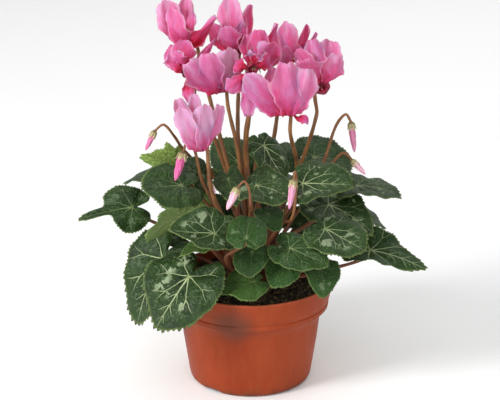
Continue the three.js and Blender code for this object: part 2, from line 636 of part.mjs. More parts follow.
// Stalk of a bud with its calyx
function budStalk(bud, order) {
  const [wayX, wayY] = bud.path[0];
  const points = [rootPoint(Math.atan2(wayY, wayX), order % 2 ? 8.2 : 5.5)];
  points.push(...bud.path.map(vector));
  const radii = points.map((_, i) => 1.4 - 0.09 * i);
  const joint = points[points.length - 1];
  const down = vector(bud.tip).sub(joint).normalize();
  points.push(joint.clone().addScaledVector(down, 1.2), joint.clone().addScaledVector(down, 2.6));
  radii.push(bud.radius * 0.95, bud.radius);
  return tube(points, radii, 5);
}

// Tuber with every stalk and calyx fused on
function tuberSolid() {
  const axis = new THREE.Vector3(0, 0, 1);
  const parts = [solidOf(spindle(new THREE.Vector3(0, 0, TUBER_CENTRE), axis, tuberProfile(0), 12))];
  LEAVES.forEach((leaf, order) => {
    parts.push(solidOf(leafStalk(leaf, order)));
  });
  FLOWERS.forEach((flower, order) => {
    parts.push(solidOf(flowerStalk(flower, order)));
  });
  BUDS.forEach((bud, order) => {
    parts.push(solidOf(budStalk(bud, order)));
  });
  return wasm.Manifold.union(parts).simplify(0.14);
}

const material = (colour, roughness) => new THREE.MeshStandardMaterial({
  color: new THREE.Color(colour),
  roughness,
  metalness: 0,
});
const potPlastic = material('#b0502c', 0.55);
const soilBrown = material('#231a12', 0.95);
const stalkBrown = material('#8a5030', 0.6);
const leafGreen = material('#33582f', 0.55);
const petalPink = material('#d9559b', 0.6);
const budPink = material('#dd7db2', 0.6);

const plant = new THREE.Group();

function addNode(name, solid, surface) {
  const mesh = new THREE.Mesh(geometryOf(solid), surface);
  mesh.name = name;
  plant.add(mesh);
}

addNode('pot', potSolid(), potPlastic);
addNode('soil', soilSolid(), soilBrown);
addNode('tuber_with_stalks', tuberSolid(), stalkBrown);
for (const leaf of LEAVES) {
  addNode(`leaf_${leaf.name}`, solidOf(leafBlade(leaf)), leafGreen);
}
for (const flower of FLOWERS) {
  addNode(`flower_${flower.name}`, corolla(flower), petalPink);
}
for (const bud of BUDS) {
  addNode(`bud_${bud.name}`, solidOf(budBody(bud)), budPink);
}

export default plant;
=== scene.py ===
import math
import random
from functools import reduce
from types import SimpleNamespace

import bpy
import numpy as np
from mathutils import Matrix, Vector, noise


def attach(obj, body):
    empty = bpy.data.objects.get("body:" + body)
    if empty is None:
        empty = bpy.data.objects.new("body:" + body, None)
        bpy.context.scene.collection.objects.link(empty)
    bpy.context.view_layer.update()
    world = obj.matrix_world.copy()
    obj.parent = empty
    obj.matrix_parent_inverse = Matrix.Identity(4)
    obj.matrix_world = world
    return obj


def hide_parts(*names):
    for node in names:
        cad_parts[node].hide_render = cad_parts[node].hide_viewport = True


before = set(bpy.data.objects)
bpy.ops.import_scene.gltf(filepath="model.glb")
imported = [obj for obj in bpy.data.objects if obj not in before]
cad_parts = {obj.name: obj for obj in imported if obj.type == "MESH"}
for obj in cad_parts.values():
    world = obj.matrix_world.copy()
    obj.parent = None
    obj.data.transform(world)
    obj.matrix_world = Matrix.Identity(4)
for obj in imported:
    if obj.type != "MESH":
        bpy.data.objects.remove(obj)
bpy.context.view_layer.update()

# Sizes in millimetres, the unit of the solids
MM = 0.001
POT_HEIGHT = 80
POT_RIM_RADIUS = 61
POT_FOOT_RADIUS = 45.8
POT_FLOOR = 2.4
NOTCH_AZIMUTHS = (-39.5, 80.5, 200.5)
NOTCH_WIDTH = 16
NOTCH_HEIGHT = 3.2
NOTCH_ENDS = (-33.5, -49.5)
SOIL_LEVEL = 72.5
SOIL_RADIUS = 58.3
# Radius and height pairs of the soil where it lies against the pot, from its bottom up
SOIL_SIDE = [(42.9, 4.2), (44.0, 6.4), (50.4, 51.2), (55.9, 61.2)]
CRUMB_SIZE = 0.9
FIBRE_LENGTH = 4.0
TUBER_RADIUS = 23
TUBER_HALF_HEIGHT = 13
TUBER_CENTRE = 72
LEAF_STALK_RADIUS = 1.3
FLOWER_STALK_RADIUS = 1.6
STALK_STEP = 2.2
BLADE_HALF = 0.32
JOINT_GAP = 0.1
PETAL_HALF = 0.24
SEPAL_HALF = 0.16
NECK_HEIGHT = 8.4
# A petal hangs down where the height of its tip over the mouth is less than this
HANGING = -8
# Leaves that join their stalks below this height stand on the outer ring of the tuber
LOW_LEAF = 126
# Distances from the middle of the tuber at which the stalks stand, one after the other in turn
LOW_LEAF_RINGS = (16, 19)
HIGH_LEAF_RINGS = (10.5, 13.5)
FLOWER_RINGS = (3.4, 7.2)
BUD_RINGS = (5.5, 8.2)

# Upward part of a face's normal from which litter lies on it
LEAST_UPRIGHT = 0.55
# One turn in radians
FULL_TURN = 6.283
# Half the side of the floor in metres, and the strength of the light from all round
FLOOR_HALF = 6
WORLD_STRENGTH = 0.62

# View of the photograph: place in metres, pitch in degrees, lens in millimetres
CAMERA_PLACE = (0.0, -1.300, 0.602)
CAMERA_PITCH = 19.6
CAMERA_LENS = 135
CAMERA_SHIFT = -0.0008

# Outline of a leaf blade: angle from the tip direction in degrees, reach as a share of the length
LEAF_OUTLINE = np.array([
    (0, 1.00), (15, 0.90), (30, 0.80), (45, 0.73), (60, 0.68), (75, 0.64), (90, 0.61), (105, 0.59),
    (120, 0.58), (135, 0.56), (150, 0.52), (162, 0.44), (170, 0.30), (175, 0.18), (180, 0.12),
]).T
# Where a long leaf tapers, as an angle from its tip direction in radians, and over how much
TAPER_ANGLE = 0.5
TAPER_SPREAD = 0.38
# Turns of the main veins from the midrib, in radians
VEIN_TURNS = (0, 0.49, 1.27, 2.22)
# Veins of a leaf on one half of its chart: start, end, width at the start, width at the end
VEINS = [
    ((0, 0), (0.97, 0), 0.019, 0.005),
    ((0.02, 0), (0.38, 0.20), 0.012, 0.008),
    ((0.38, 0.20), (0.62, 0.24), 0.009, 0.004),
    ((0.38, 0.20), (0.50, 0.38), 0.009, 0.004),
    ((0, 0.01), (0.10, 0.32), 0.012, 0.007),
    ((0.10, 0.32), (0.25, 0.47), 0.009, 0.004),
    ((0.10, 0.32), (0.05, 0.50), 0.008, 0.004),
    ((-0.01, 0.01), (-0.20, 0.27), 0.010, 0.006),
    ((-0.20, 0.27), (-0.20, 0.43), 0.007, 0.004),
    ((-0.20, 0.27), (-0.36, 0.30), 0.007, 0.004),
    ((0.33, 0), (0.50, 0.11), 0.009, 0.004),
    ((0.54, 0), (0.70, 0.12), 0.008, 0.004),
    ((0.74, 0), (0.84, 0.07), 0.006, 0.003),
]
# The stalk's hook over a flower: distance to its side and height over the mouth
FLOWER_HOOK = [(9.3, -14), (9.4, -2), (8.2, 6.2), (4.8, 11.2), (1.2, 11.9)]
# Width of a petal as a share of its widest, by its way from root to tip
PETAL_WIDTHS = (
    (0, 0.12, 0.25, 0.38, 0.5, 0.62, 0.74, 0.84, 0.91, 0.96, 1),
    (0.20, 0.21, 0.27, 0.42, 0.67, 0.94, 1.13, 1.18, 1.12, 0.97, 0.70),
)
# Width of a bud by its way from root to tip
BUD_WIDTHS = ((0, 0.12, 0.3, 0.5, 0.7, 0.88, 1), (0.82, 0.98, 1.02, 0.9, 0.78, 0.5, 0.12))


# One row per leaf, flower and bud, as in the solids
def leaf_row(name, base, tip, face, **traits):
    """A leaf from the top of its stalk to its tip, and the way that its upper side looks."""
    usual = dict(wide=1, lobe=1, fold=0.12, taper=0, turn=0, ragged=0, fine=False, way=None)
    usual.update(tone=0.4, silver=0.35)
    return SimpleNamespace(name=name, base=base, tip=tip, face=face, **{**usual, **traits})


def flower_row(name, mouth, up, stalk_side, way, petals, tones, **traits):
    """A flower at its mouth; a petal has its tip, half its width and the azimuth that it faces. Each petal's
    tone is partly its own colour, partly painted shade.
    """
    usual = dict(points=[0] * 5, widths=[1] * 5, turned_out=1, fold=4.6, flare=1, calyx=1)
    usual.update(eye=0.3, eye_at=None, ring=1)
    given = dict(name=name, mouth=mouth, up=up, stalk_side=stalk_side, way=way, petals=petals, tones=tones)
    return SimpleNamespace(**given, **{**usual, **traits})


def bud_row(name, path, tip, radius, pale):
    return SimpleNamespace(name=name, path=path, tip=tip, radius=radius, pale=pale)


# Young leaves low in the crown, between the stalks
YOUNG_LEAVES = [
    leaf_row("young", [-20, 8, 124], [-39, 14, 136], [-0.1, -0.75, 0.6], tone=0.35, silver=0.1),
    leaf_row("young", [36, 8, 117], [53, 12, 128], [0.2, -0.7, 0.65], tone=0.4, silver=0.1),
    leaf_row("young", [11, 18, 118], [13, 22, 138], [0, -0.85, 0.5], tone=0.3, silver=0.1),
    leaf_row("young", [2, 22, 142], [4, 26, 160], [0, -0.9, 0.45], tone=0.35, silver=0.2),
    leaf_row("young", [-42, 10, 130], [-68, 14, 137], [-0.1, -0.6, 0.8], tone=0.95, silver=0.05),
    leaf_row("young", [-12, -8, 112], [-26, -12, 121], [-0.1, -0.8, 0.55], tone=0.5, silver=0.1),
]
LEAVES = [
    leaf_row("front_left_big", [-44, -52, 99], [-69, -82, 75], [-0.15, -0.62, 0.77], wide=1.06, fine=True,
        tone=0.25, silver=0.88),
    leaf_row("left_hanging", [-64, -21, 101], [-90, -36, 58], [-0.45, -0.62, 0.5], wide=0.9, lobe=0.85,
        fine=True, tone=0.35, silver=0.8),
    leaf_row("far_left", [-87, -5, 135], [-129, -20, 136], [-0.1, -0.75, 0.62], wide=0.7, lobe=0.7,
        taper=0.38, turn=0.5, fine=True, tone=0.3, silver=0.3),
    leaf_row("left_dark", [-49, -31, 161], [-79, -48, 168], [-0.3, -0.6, 0.7], wide=0.95, fine=True,
        tone=0.45, silver=0.4),
    leaf_row("left_top_small", [-54, -7, 168], [-72, -15, 180], [-0.2, -0.75, 0.6], lobe=0.6, ragged=0.13,
        tone=1.0, silver=0.05),
    leaf_row("left_back", [-67, 20, 153], [-96, 26, 150], [-0.2, 0.0, 1.0], tone=0.25, silver=0.2),
    leaf_row("left_centre", [-25, -60, 135], [-58, -68, 143], [-0.15, -0.55, 0.85], wide=0.88, fold=0.5,
        fine=True, way=[[-11, -30, 101], [-16, -48, 120]], tone=0.4, silver=0.65),
    leaf_row("left_low", [-29, -40, 120], [-54, -50, 117], [0, 0.2, 0.98], wide=0.8, lobe=0.6, tone=0.93,
        silver=0.1),
    leaf_row("left_underside", [-50, -24, 136], [-78, -34, 127], [-0.25, 0.75, 0.6], ragged=0.06, tone=0.97,
        silver=0.1),
    leaf_row("behind_flower", [-34, -2, 158], [-49, -13, 173], [-0.2, -0.6, 0.75], wide=0.92, tone=0.25,
        silver=0.45),
    leaf_row("centre", [-3, -72, 136], [0, -45, 149], [0, -0.42, 0.9], wide=0.78, lobe=0.6, fine=True,
        way=[[-14, -34, 98], [-17, -52, 115]], tone=0.75, silver=0.35),
    leaf_row("centre_dark", [-16, -27, 165], [-11, -50, 155], [-0.1, -0.5, 0.85], wide=0.7, tone=0.3,
        silver=0.2),
    leaf_row("centre_upper", [4, -42, 165], [27, -62, 167], [0.2, -0.62, 0.75], fine=True, tone=0.4,
        silver=0.55),
    leaf_row("under_centre", [12, -40, 143], [22, -52, 137], [0, -0.4, 0.9], tone=0.6, silver=0.1),
    leaf_row("top_centre", [9.5, 1, 181], [26.5, -20, 162], [0.35, -0.6, 0.7], wide=0.7, lobe=0.75,
        fine=True, tone=0.4, silver=0.75),
    leaf_row("top_left", [-9, 22, 161], [-28, 34, 177], [-0.1, -0.7, 0.7]),
    leaf_row("top_right_dark", [25, 28, 160], [29, 44, 172], [0, -0.7, 0.7]),
    leaf_row("top_right_back", [47, 28, 163], [80, 37, 160], [0.1, -0.5, 0.85]),
    leaf_row("right_upper", [37, -33, 163], [73, -45, 171], [0.1, -0.42, 0.9], fold=0.2, lobe=0.5,
        fine=True, tone=0.4, silver=0.72),
    leaf_row("right_far", [78, 0, 150], [111, -5, 151], [0.1, -0.1, 0.99], fine=True, tone=0.4,
        silver=0.55),
    leaf_row("right_mid", [57, -16, 141], [88, -38, 135], [0.2, -0.45, 0.87], tone=0.4, silver=0.7),
    leaf_row("right_big", [53, -50, 135], [83, -73, 130], [0.22, -0.52, 0.82], wide=0.92, lobe=0.68,
        fine=True, tone=0.4, silver=0.65),
    leaf_row("right_back_low", [80, 7, 128], [104, 15, 115], [0.4, -0.1, 0.85]),
    leaf_row("far_right_big", [87, -25, 109], [127, -45, 109], [0.15, -0.35, 0.92], wide=0.78, fold=0.25,
        taper=0.25, fine=True, tone=0.5, silver=0.75),
    leaf_row("right_underside", [50, -20, 118], [62, -24, 110], [0.2, 0.5, 0.8]),
    leaf_row("front_right", [28, -60, 124], [56, -75, 119.5], [0.1, -0.6, 0.8], wide=0.82, fold=0.2,
        fine=True, way=[[24, -26, 101], [33, -41, 119]], tone=0.55, silver=0.5),
    leaf_row("front_low_centre", [27, -49, 110], [14, -66, 98.5], [-0.35, -0.65, 0.7], fine=True, tone=0.85,
        silver=0.25),
    leaf_row("front_low_right", [50, -57, 108], [53.5, -75, 96.5], [0.35, -0.65, 0.65], wide=1.12,
        fine=True, tone=0.9, silver=0.45),
    leaf_row("front_low_left", [1, -52, 118], [-1, -69, 105], [-0.1, -0.7, 0.7], way=[[1, -22, 103],
        [1, -38, 113]], tone=0.65, silver=0.25),
    leaf_row("soil_front", [3, -49, 94], [-22, -60, 92], [0, -0.3, 0.95], lobe=0.65, tone=0.92, silver=0.1),
    leaf_row("back_low_1", [56, 32, 112], [90, 52, 100], [0.3, 0.15, 0.93], wide=0.9),
    leaf_row("back_low_2", [35, 51, 104], [58, 83, 92], [0.2, 0.3, 0.93], wide=0.9),
    leaf_row("back_low_3", [11, 61, 112], [18, 103, 100], [0.1, 0.35, 0.93]),
    leaf_row("back_low_4", [-19, 59, 106], [-32, 98, 94], [-0.1, 0.35, 0.93]),
    leaf_row("back_low_5", [-42, 46, 112], [-68, 77, 100], [-0.25, 0.25, 0.93]),
    leaf_row("back_low_6", [-58, 24, 100], [-92, 40, 88], [-0.3, 0.1, 0.93]),
    leaf_row("back_high_1", [20.5, 43.5, 141], [38.5, 74.5, 137], [0.2, 0.3, 0.93]),
    leaf_row("back_high_2", [-8, 46, 150], [-14, 84, 146], [0, 0.35, 0.93]),
    leaf_row("back_high_3", [-34, 30, 146], [-62, 54, 142], [-0.25, 0.25, 0.93]),
    leaf_row("back_mid", [46, 30, 130], [80, 54, 122], [0.25, 0.2, 0.93]),
]
FLOWERS = [
    flower_row("far_left", [-47, -5, 257], [-0.2, 0.1, 1], [0.93, 0.37, 0], [[-8, -1, 130], [-20, -2, 180]],
        [[-61, 4, 286, 8, -20], [-54, -16, 285, 9, -5], [-46, 12, 286, 6.3, -10], [-24, -14, 279, 6, 10],
        [-57, 15, 277, 6.5, -60]], (0.2, 0.6, 0.4, 1.5, 0.7), points=(0, 0, 0, 1, 0),
        widths=(0.95, 0.9, 0.9, 1.4, 0.9), eye=0.7, fold=2.6, flare=0.66, calyx=0.82),
    flower_row("left_back", [-45, -12, 236], [0.1, 0.1, 1], [0.7, 0.7, 0], [[-10, 3, 130], [-24, 2, 180]],
        [[-48, -18, 263, 7, 0], [-58, -4, 255, 6.5, -40], [-25, -10, 264, 4, 0], [-44, -24, 222, 6, 0],
        [-54, -24, 256, 7.5, -20]], (1.1, 1.0, 0.9, 0.8, 0.7), points=(0, 0, 1, 0.8, 0),
        eye_at=[-44.8, -22, 240.7], eye=0.6, fold=1.5),
    flower_row("left_centre", [-22, -22, 228], [-0.1, 0, 1], [0.5, 0.85, 0], [[-4, -5, 130],
        [-9, -10, 180]], [[-43, -32, 251, 8.5, -15], [-30, -37, 258, 8, -5], [-15, -30, 260, 8, 20],
        [-8, -16, 248, 6.5, 60], [-33, -19, 254, 5.5, -45]], (0.4, 0.6, -0.3, 0.9, 0.9), fold=3.2,
        flare=0.66, calyx=0.82),
    flower_row("top", [-11, 8, 249], [0, 0, 1], [0.3, 0.95, 0], [[-3, 2, 130], [-9, 8, 185]],
        [[-15, 2, 289, 8, 0], [-27, 4, 269, 5.5, -30], [-17, -10, 271, 7.5, -10], [1, 12, 283, 5, 20],
        [-5, 0, 277, 5, 20]], (0.2, 1.0, 0.7, 1.2, 1.2), points=(0, 0, 0, 0.95, 0.6),
        widths=(0.95, 1, 1, 1.6, 1), eye_at=[-10.5, -2, 248.8], eye=0.6, fold=1.5),
    flower_row("upper_right", [5, -11, 244], [0.1, 0, 1], [-0.1, 1, 0], [[-1, -4, 130], [-4, -8, 185]],
        [[18, -8, 274, 6.3, 50], [6, -20, 271, 6.5, 0], [16, -25, 263, 8, 15], [-2, -12, 266, 5, 0],
        [19.5, -8, 256, 5.6, 50]], (0.8, 1.1, 0.9, 1.0, 1.0), flare=0.8, points=(0.8, 0, 0, 0, 0),
        widths=(1.2, 1, 1, 1, 1), turned_out=0.3),
    flower_row("centre", [2, -36, 242], [-0.1, 0.5, 1], [-0.3, 0.9, 0], [[1, -6, 130], [-3, -16, 185]],
        [[-15, -42, 236, 5.5, 0], [13, -36, 256, 6, 0], [4, -47, 262, 5, 0], [-2, -42, 218, 5.5, 0],
        [-9, -36, 253, 6, -20]], (0.8, 0.9, 0.8, 0.5, 1.2), eye_at=[1.5, -42, 250], eye=0.6, fold=1.5),
    flower_row("right_low", [27, -42, 218], [0.05, 0.1, 1], [0.2, 1, 0], [[14, -4, 120], [33, -6, 162]],
        [[-1, -46, 246, 9, -10], [24, -62, 258, 9, -5], [38, -57, 253, 9, 15], [15.5, -34, 247, 6.8, -32],
        [40, -50, 213, 4, 20]], (0.4, 0.5, 0.2, 0.7, 0.9), points=(0, 0, 0, 0, 1)),
    flower_row("right_back", [31, 15, 240], [0, 0, 1], [-0.95, 0.3, 0], [[4, 8, 125], [17, 22, 178]],
        [[27, 8, 269, 8, 0], [15, 8, 259, 8, -20], [40, 18, 267, 4.5, 10], [48, 20, 260, 6, 20],
        [22, 2, 252, 6, -20]], (0.3, 0.2, 1.0, 0.9, 0.6), flare=0.8, points=(0, 0, 0.9, 1, 0),
        widths=(1, 1, 1.8, 1.5, 1), turned_out=0),
    flower_row("right", [51, -14, 225], [-0.1, 0.45, 1], [-0.5, 0.85, 0], [[16, 2, 120], [36, 1, 165]],
        [[60, -26, 255, 9, 15], [38, -34, 253, 8, -10], [56, -3, 259, 8, 5], [44, -8, 261, 7, -5],
        [34, -14, 255, 6.5, -20]], (0.2, 0.7, 0.5, 0.6, 0.9), eye_at=[50.8, -21, 229.8], eye=0.7, fold=1.5,
        ring=1.4),
    flower_row("front_low", [-35, -58, 196], [-0.05, 0, 1], [0.5, 0.85, 0], [[-12, -26, 118],
        [-27, -45, 160]], [[-47, -70, 229, 8.5, -10], [-50, -50, 230, 6.5, -20], [-39, -45, 232, 5, 0],
        [-31, -70, 231, 7.5, 5], [-22, -61, 229, 6, 35]], (-0.5, -0.1, -0.1, -0.4, 0.1), eye=0.6, fold=3.0,
        flare=0.56, calyx=0.82, widths=(0.8, 0.8, 0.95, 0.8, 0.95)),
]
BUDS = [
    bud_row("far_left", [[-22, 0, 130], [-41.5, 7, 166], [-50, -6, 182], [-55, -19, 195], [-62, -22, 204],
        [-68, -24, 200]], [-75, -26, 186], 2.0, 0.15),
    bud_row("left_pink", [[-16, -20, 125], [-34, -38, 166], [-40, -44, 194], [-45, -47, 198],
        [-47, -48, 192]], [-53, -52, 172], 3.0, 0.0),
    bud_row("green", [[-10, -12, 130], [-27, -20, 165], [-29, -28, 173], [-30, -33, 171], [-30, -35, 166]],
        [-25, -37, 157], 1.6, 0.9),
    bud_row("pale", [[-2, -26, 115], [0, -36, 143], [1, -54, 151], [0, -68.5, 160], [-1, -67, 171],
        [-4.5, -68, 177], [-8.5, -69, 173]], [-16.5, -72, 157.5], 2.6, 0.8),
    bud_row("centre_right", [[12, -22, 112], [24, -40, 136], [28.5, -54, 143], [31, -62, 156],
        [32, -64, 178], [31, -68, 184], [30, -72, 180]], [27, -75, 159], 2.4, 0.45),
    bud_row("right_top", [[24, 4, 120], [52, 1, 165], [62, 0, 196], [69, 0, 205], [73, 0, 199]],
        [76, 0, 176], 2.4, 0.25),
    bud_row("far_right", [[26, 2, 115], [56, 6, 160], [67, 4, 174], [71, 3, 173], [74, 0, 170]],
        [84, -6, 161], 2.0, 0.7),
]


# Geometry helpers
def unit(direction):
    direction = np.asarray(direction, float)
    return direction / np.linalg.norm(direction)


def square_to(direction, axis):
    """The part of a direction that is square to an axis, at length 1."""
    direction = np.asarray(direction, float)
    return unit(direction - axis * direction.dot(axis))


def smooth_step(low, high, value):
    share = np.clip((np.asarray(value, float) - low) / (high - low), 0, 1)
    return share * share * (3 - 2 * share)


def cubic(a, b, c, d, t):
    """Points of a cubic curve at the shares t."""
    t = np.asarray(t, float)[..., None]
    s = 1 - t
    return a * s**3 + 3 * b * s * s * t + 3 * c * s * t * t + d * t**3


def smooth_path(points, radii):
    """Finer points of a smooth path through points, with the radius at each."""
    points = [np.asarray(p, float) for p in points]
    ends = [2 * points[0] - points[1], *points, 2 * points[-1] - points[-2]]
    path = []
    thickness = []
    for i in range(1, len(points)):
        before, here, there, after = ends[i - 1 : i + 3]
        gap = np.linalg.norm(there - here)
        lean_here = (there - before) * gap / (gap + np.linalg.norm(here - before))
        lean_there = (after - here) * gap / (gap + np.linalg.norm(after - there))
        pieces = max(2, math.ceil(gap / STALK_STEP))
        for t in [k / pieces for k in range(pieces + (i == len(points) - 1))]:
            start = (2 * t**3 - 3 * t**2 + 1) * here + (t**3 - 2 * t**2 + t) * lean_here
            path.append(start + (3 * t**2 - 2 * t**3) * there + (t**3 - t**2) * lean_there)
            thickness.append(radii[i - 1] * (1 - t) + radii[i] * t)
    return path, thickness


def around(count):
    """Each place of a closed ring with the next one."""
    return [(k, (k + 1) % count) for k in range(count)]


def grid_faces(rows, columns):
    """Triangles over a grid of points, and the loop of points round its rim."""
    triangles = []
    for row in range(0, (rows - 1) * columns, columns):
        for here in range(row, row + columns - 1):
            triangles += [(here, here + 1, here + columns + 1), (here, here + columns + 1, here + columns)]
    last = (rows - 1) * columns
    edge = [*range(columns - 1), *range(columns - 1, last, columns)]
    return triangles, edge + [*range(last + columns - 1, last, -1), *range(last, 0, -columns)]


def linked(name, data):
    """A new object in the scene."""
    thing = bpy.data.objects.new(name, data)
    bpy.context.scene.collection.objects.link(thing)
    return thing


def plain_mesh(name, points, faces, finish):
    mesh = bpy.data.meshes.new(name)
    mesh.from_pydata(points, [], faces)
    mesh.materials.append(finish)
    return mesh


def settled(carrier, name):
    """The plain mesh that an object makes with its modifiers; the object goes."""
    bpy.context.view_layer.update()
    depsgraph = bpy.context.evaluated_depsgraph_get()
    mesh = bpy.data.meshes.new_from_object(carrier.evaluated_get(depsgraph), depsgraph=depsgraph)
    mesh.name = name
    carrier.modifiers.clear()
    bpy.data.objects.remove(carrier)
    return mesh


def add_kinds(mesh, kinds):
    """Gives each point three numbers that its finish reads."""
    layer = mesh.attributes.new("kind", "FLOAT_VECTOR", "POINT")
    layer.data.foreach_set("vector", np.array(kinds).ravel())


class Body:
    """Gathers the points, faces, chart and kind values of one piece, in millimetres."""

    def __init__(self):
        self.points = []
        self.faces = []
        self.finishes = []
        self.charts = []
        self.kinds = []

    def add(self, points, faces, finishes, chart, kind):
        first = len(self.points)
        self.points += (np.asarray(points, float) * MM).tolist()
        self.faces += [tuple(first + i for i in face) for face in faces]
        self.finishes += finishes
        self.charts += list(chart)
        self.kinds += list(np.broadcast_to(np.asarray(kind, float), (len(points), 3)))

    def mesh(self, name, finishes):
        mesh = bpy.data.meshes.new(name)
        mesh.from_pydata(self.points, [], self.faces)
        for finish in finishes:
            mesh.materials.append(finish)
        mesh.polygons.foreach_set("material_index", self.finishes)
        mesh.polygons.foreach_set("use_smooth", [True] * len(self.faces))
        corners = np.zeros(len(mesh.loops), np.int32)
        mesh.loops.foreach_get("vertex_index", corners)
        layer = mesh.uv_layers.new(name="chart")
        layer.data.foreach_set("uv", np.array(self.charts)[corners].ravel())
        add_kinds(mesh, self.kinds)
        mesh.update()
        return mesh


def piece_of(mesh, nodes):
    """Links a finished mesh as a piece that stands for solids, and hides those solids."""
    piece = linked(mesh.name, mesh)
    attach(piece, "root")
    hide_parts(*nodes)


def add_sheet(body, points, triangles, edge, half, chart, kind, back=0):
    """Adds both faces and the rim of a thin sheet; half is half its thickness at each point."""
    points = np.asarray(points, float)
    corners = np.asarray(triangles, int)
    a, b, c = (points[corners[:, k]] for k in range(3))
    face = np.cross(b - a, c - a)
    normals = np.zeros_like(points)
    for k in range(3):
        np.add.at(normals, corners[:, k], face)
    normals = normals / (np.linalg.norm(normals, axis=1, keepdims=True) + 1e-12)
    lift = normals * np.asarray(half, float)[:, None]
    count = len(points)
    faces = triangles + [(a + count, c + count, b + count) for a, b, c in triangles]
    faces += [(here, here + count, there + count, there) for here, there in zip(edge, edge[1:] + edge[:1])]
    finishes = [0] * len(triangles) + [back] * len(triangles) + [0] * len(edge)
    if np.ndim(kind) == 2:
        kind = np.vstack([kind, kind])
    body.add(np.vstack([points + lift, points - lift]), faces, finishes, np.vstack([chart, chart]), kind)


def add_rings(body, rings, heights, kind, finish=0):
    """Adds a closed skin over rings of equal count, counted anticlockwise round the way they run."""
    sides = len(rings[0])
    points = [p for ring in rings for p in ring]
    chart = [(k / sides, height) for height in heights for k in range(sides)]
    last = (len(rings) - 1) * sides
    faces = []
    for row in range(0, last, sides):
        faces += [(row + a, row + b, row + b + sides, row + a + sides) for a, b in around(sides)]
    for end, row in ((0, 0), (-1, last)):
        centre = len(points)
        points.append(np.mean(rings[end], axis=0))
        chart.append((0.5, heights[end]))
        faces += [(centre, row + a, row + b) if row else (centre, b, a) for a, b in around(sides)]
    body.add(points, faces, [finish] * len(faces), chart, kind)


def turned_rings(origin, up, profile, sides, shape=lambda turns, height: 1):
    """Rings about an axis from radius and height pairs; shape scales a radius by angle and height."""
    side = square_to((1, 0.3, 0.2), up)
    other = np.cross(up, side)
    turns = 2 * np.pi * np.arange(sides) / sides
    rings = []
    for radius, height in profile:
        reach = radius * shape(turns, height)
        out = side * (reach * np.cos(turns))[:, None]
        rings.append(origin + up * height + out + other * (reach * np.sin(turns))[:, None])
    return rings


def rings_mesh(name, rings, heights, finish):
    """The mesh of one closed skin."""
    body = Body()
    add_rings(body, rings, heights, (0, 0, 0))
    return body.mesh(name, [finish])


# Leaf blades
def leaf_reach(angle):
    """Reach of the outline at an angle: softened, but sharp in the notch at the stalk."""
    degrees = np.degrees(np.abs(angle))
    spread = np.arange(-6, 7, 1.5)
    weight = np.exp(-((spread / 3.5) ** 2))
    total = sum(w * np.interp(np.abs(degrees + s), *LEAF_OUTLINE) for s, w in zip(spread, weight))
    keep = smooth_step(160, 172, degrees)
    return total / weight.sum() * (1 - keep) + np.interp(degrees, *LEAF_OUTLINE) * keep


def leaf_axes(leaf):
    base = np.array(leaf.base, float)
    along = np.array(leaf.tip, float) - base
    length = np.linalg.norm(along)
    along = along / length
    normal = square_to(leaf.face, along)
    return base, along, np.cross(normal, along), normal, length


def leaf_surface(leaf, share, angle, tooth, seed):
    """Points of a leaf's middle surface and their place on its chart, in leaf lengths."""
    base, along, across, normal, length = leaf_axes(leaf)
    behind = np.clip(np.abs(angle) / np.pi * 3 - 1.5, 0, 1)
    lobe = 1 + (leaf.lobe - 1) * behind
    shoulder = (np.abs(angle) - TAPER_ANGLE) / TAPER_SPREAD
    taper = 1 - leaf.taper * np.exp(-shoulder * shoulder)
    uneven = 0.05 * np.sin(3 * angle + seed) + 0.03 * np.sin(5 * angle + 2.1 * seed)
    uneven += leaf.ragged * (np.sin(7 * angle + seed) + 0.6 * np.sin(13 * angle - seed))
    uneven = 1 + uneven * np.cos(angle / 2) ** 0.5
    reach = leaf_reach(angle) * length * share * tooth * lobe * taper * uneven
    u = reach * np.cos(angle)
    v = reach * np.sin(angle) * leaf.wide
    crease = 0.08 * length
    lifted = leaf.fold * (np.hypot(v, crease) - crease)
    lowered = 0.12 * np.maximum(0, u) ** 2 / length
    cupped = -0.05 * (u * u + v * v) / length
    waved = 1.5 * share**3 * np.sin(4 * angle) * length / 40
    ruffled = 0.045 * length * share**4 * np.sin(8 * angle + seed) * np.sin(3 * angle + 2.3 * seed)
    grooves = sum(np.exp(-(((np.abs(angle) - turn) / 0.2) ** 2)) for turn in VEIN_TURNS)
    sunk = 0.030 * length * np.sin(np.pi * share) * (grooves - 0.5) * smooth_step(0.1, 0.4, share)
    swollen = 0.045 * length * share * np.sin(2 * angle + seed) * np.sin(1.5 * np.pi * share)
    curled = 0.035 * (1 + 0.8 * math.sin(3 * seed)) * length * share**6
    height = lifted - lowered + cupped + waved + ruffled - sunk + swollen - curled
    roll = leaf.turn * np.clip(u / length * 1.4, 0, 1)
    points = base + along * u[:, None] + across * (v * np.cos(roll) - height * np.sin(roll))[:, None]
    points = points + normal * (v * np.sin(roll) + height * np.cos(roll))[:, None]
    return points, np.stack([0.4 + 0.5 * u / length, 0.5 + 0.5 * v / length], axis=1)


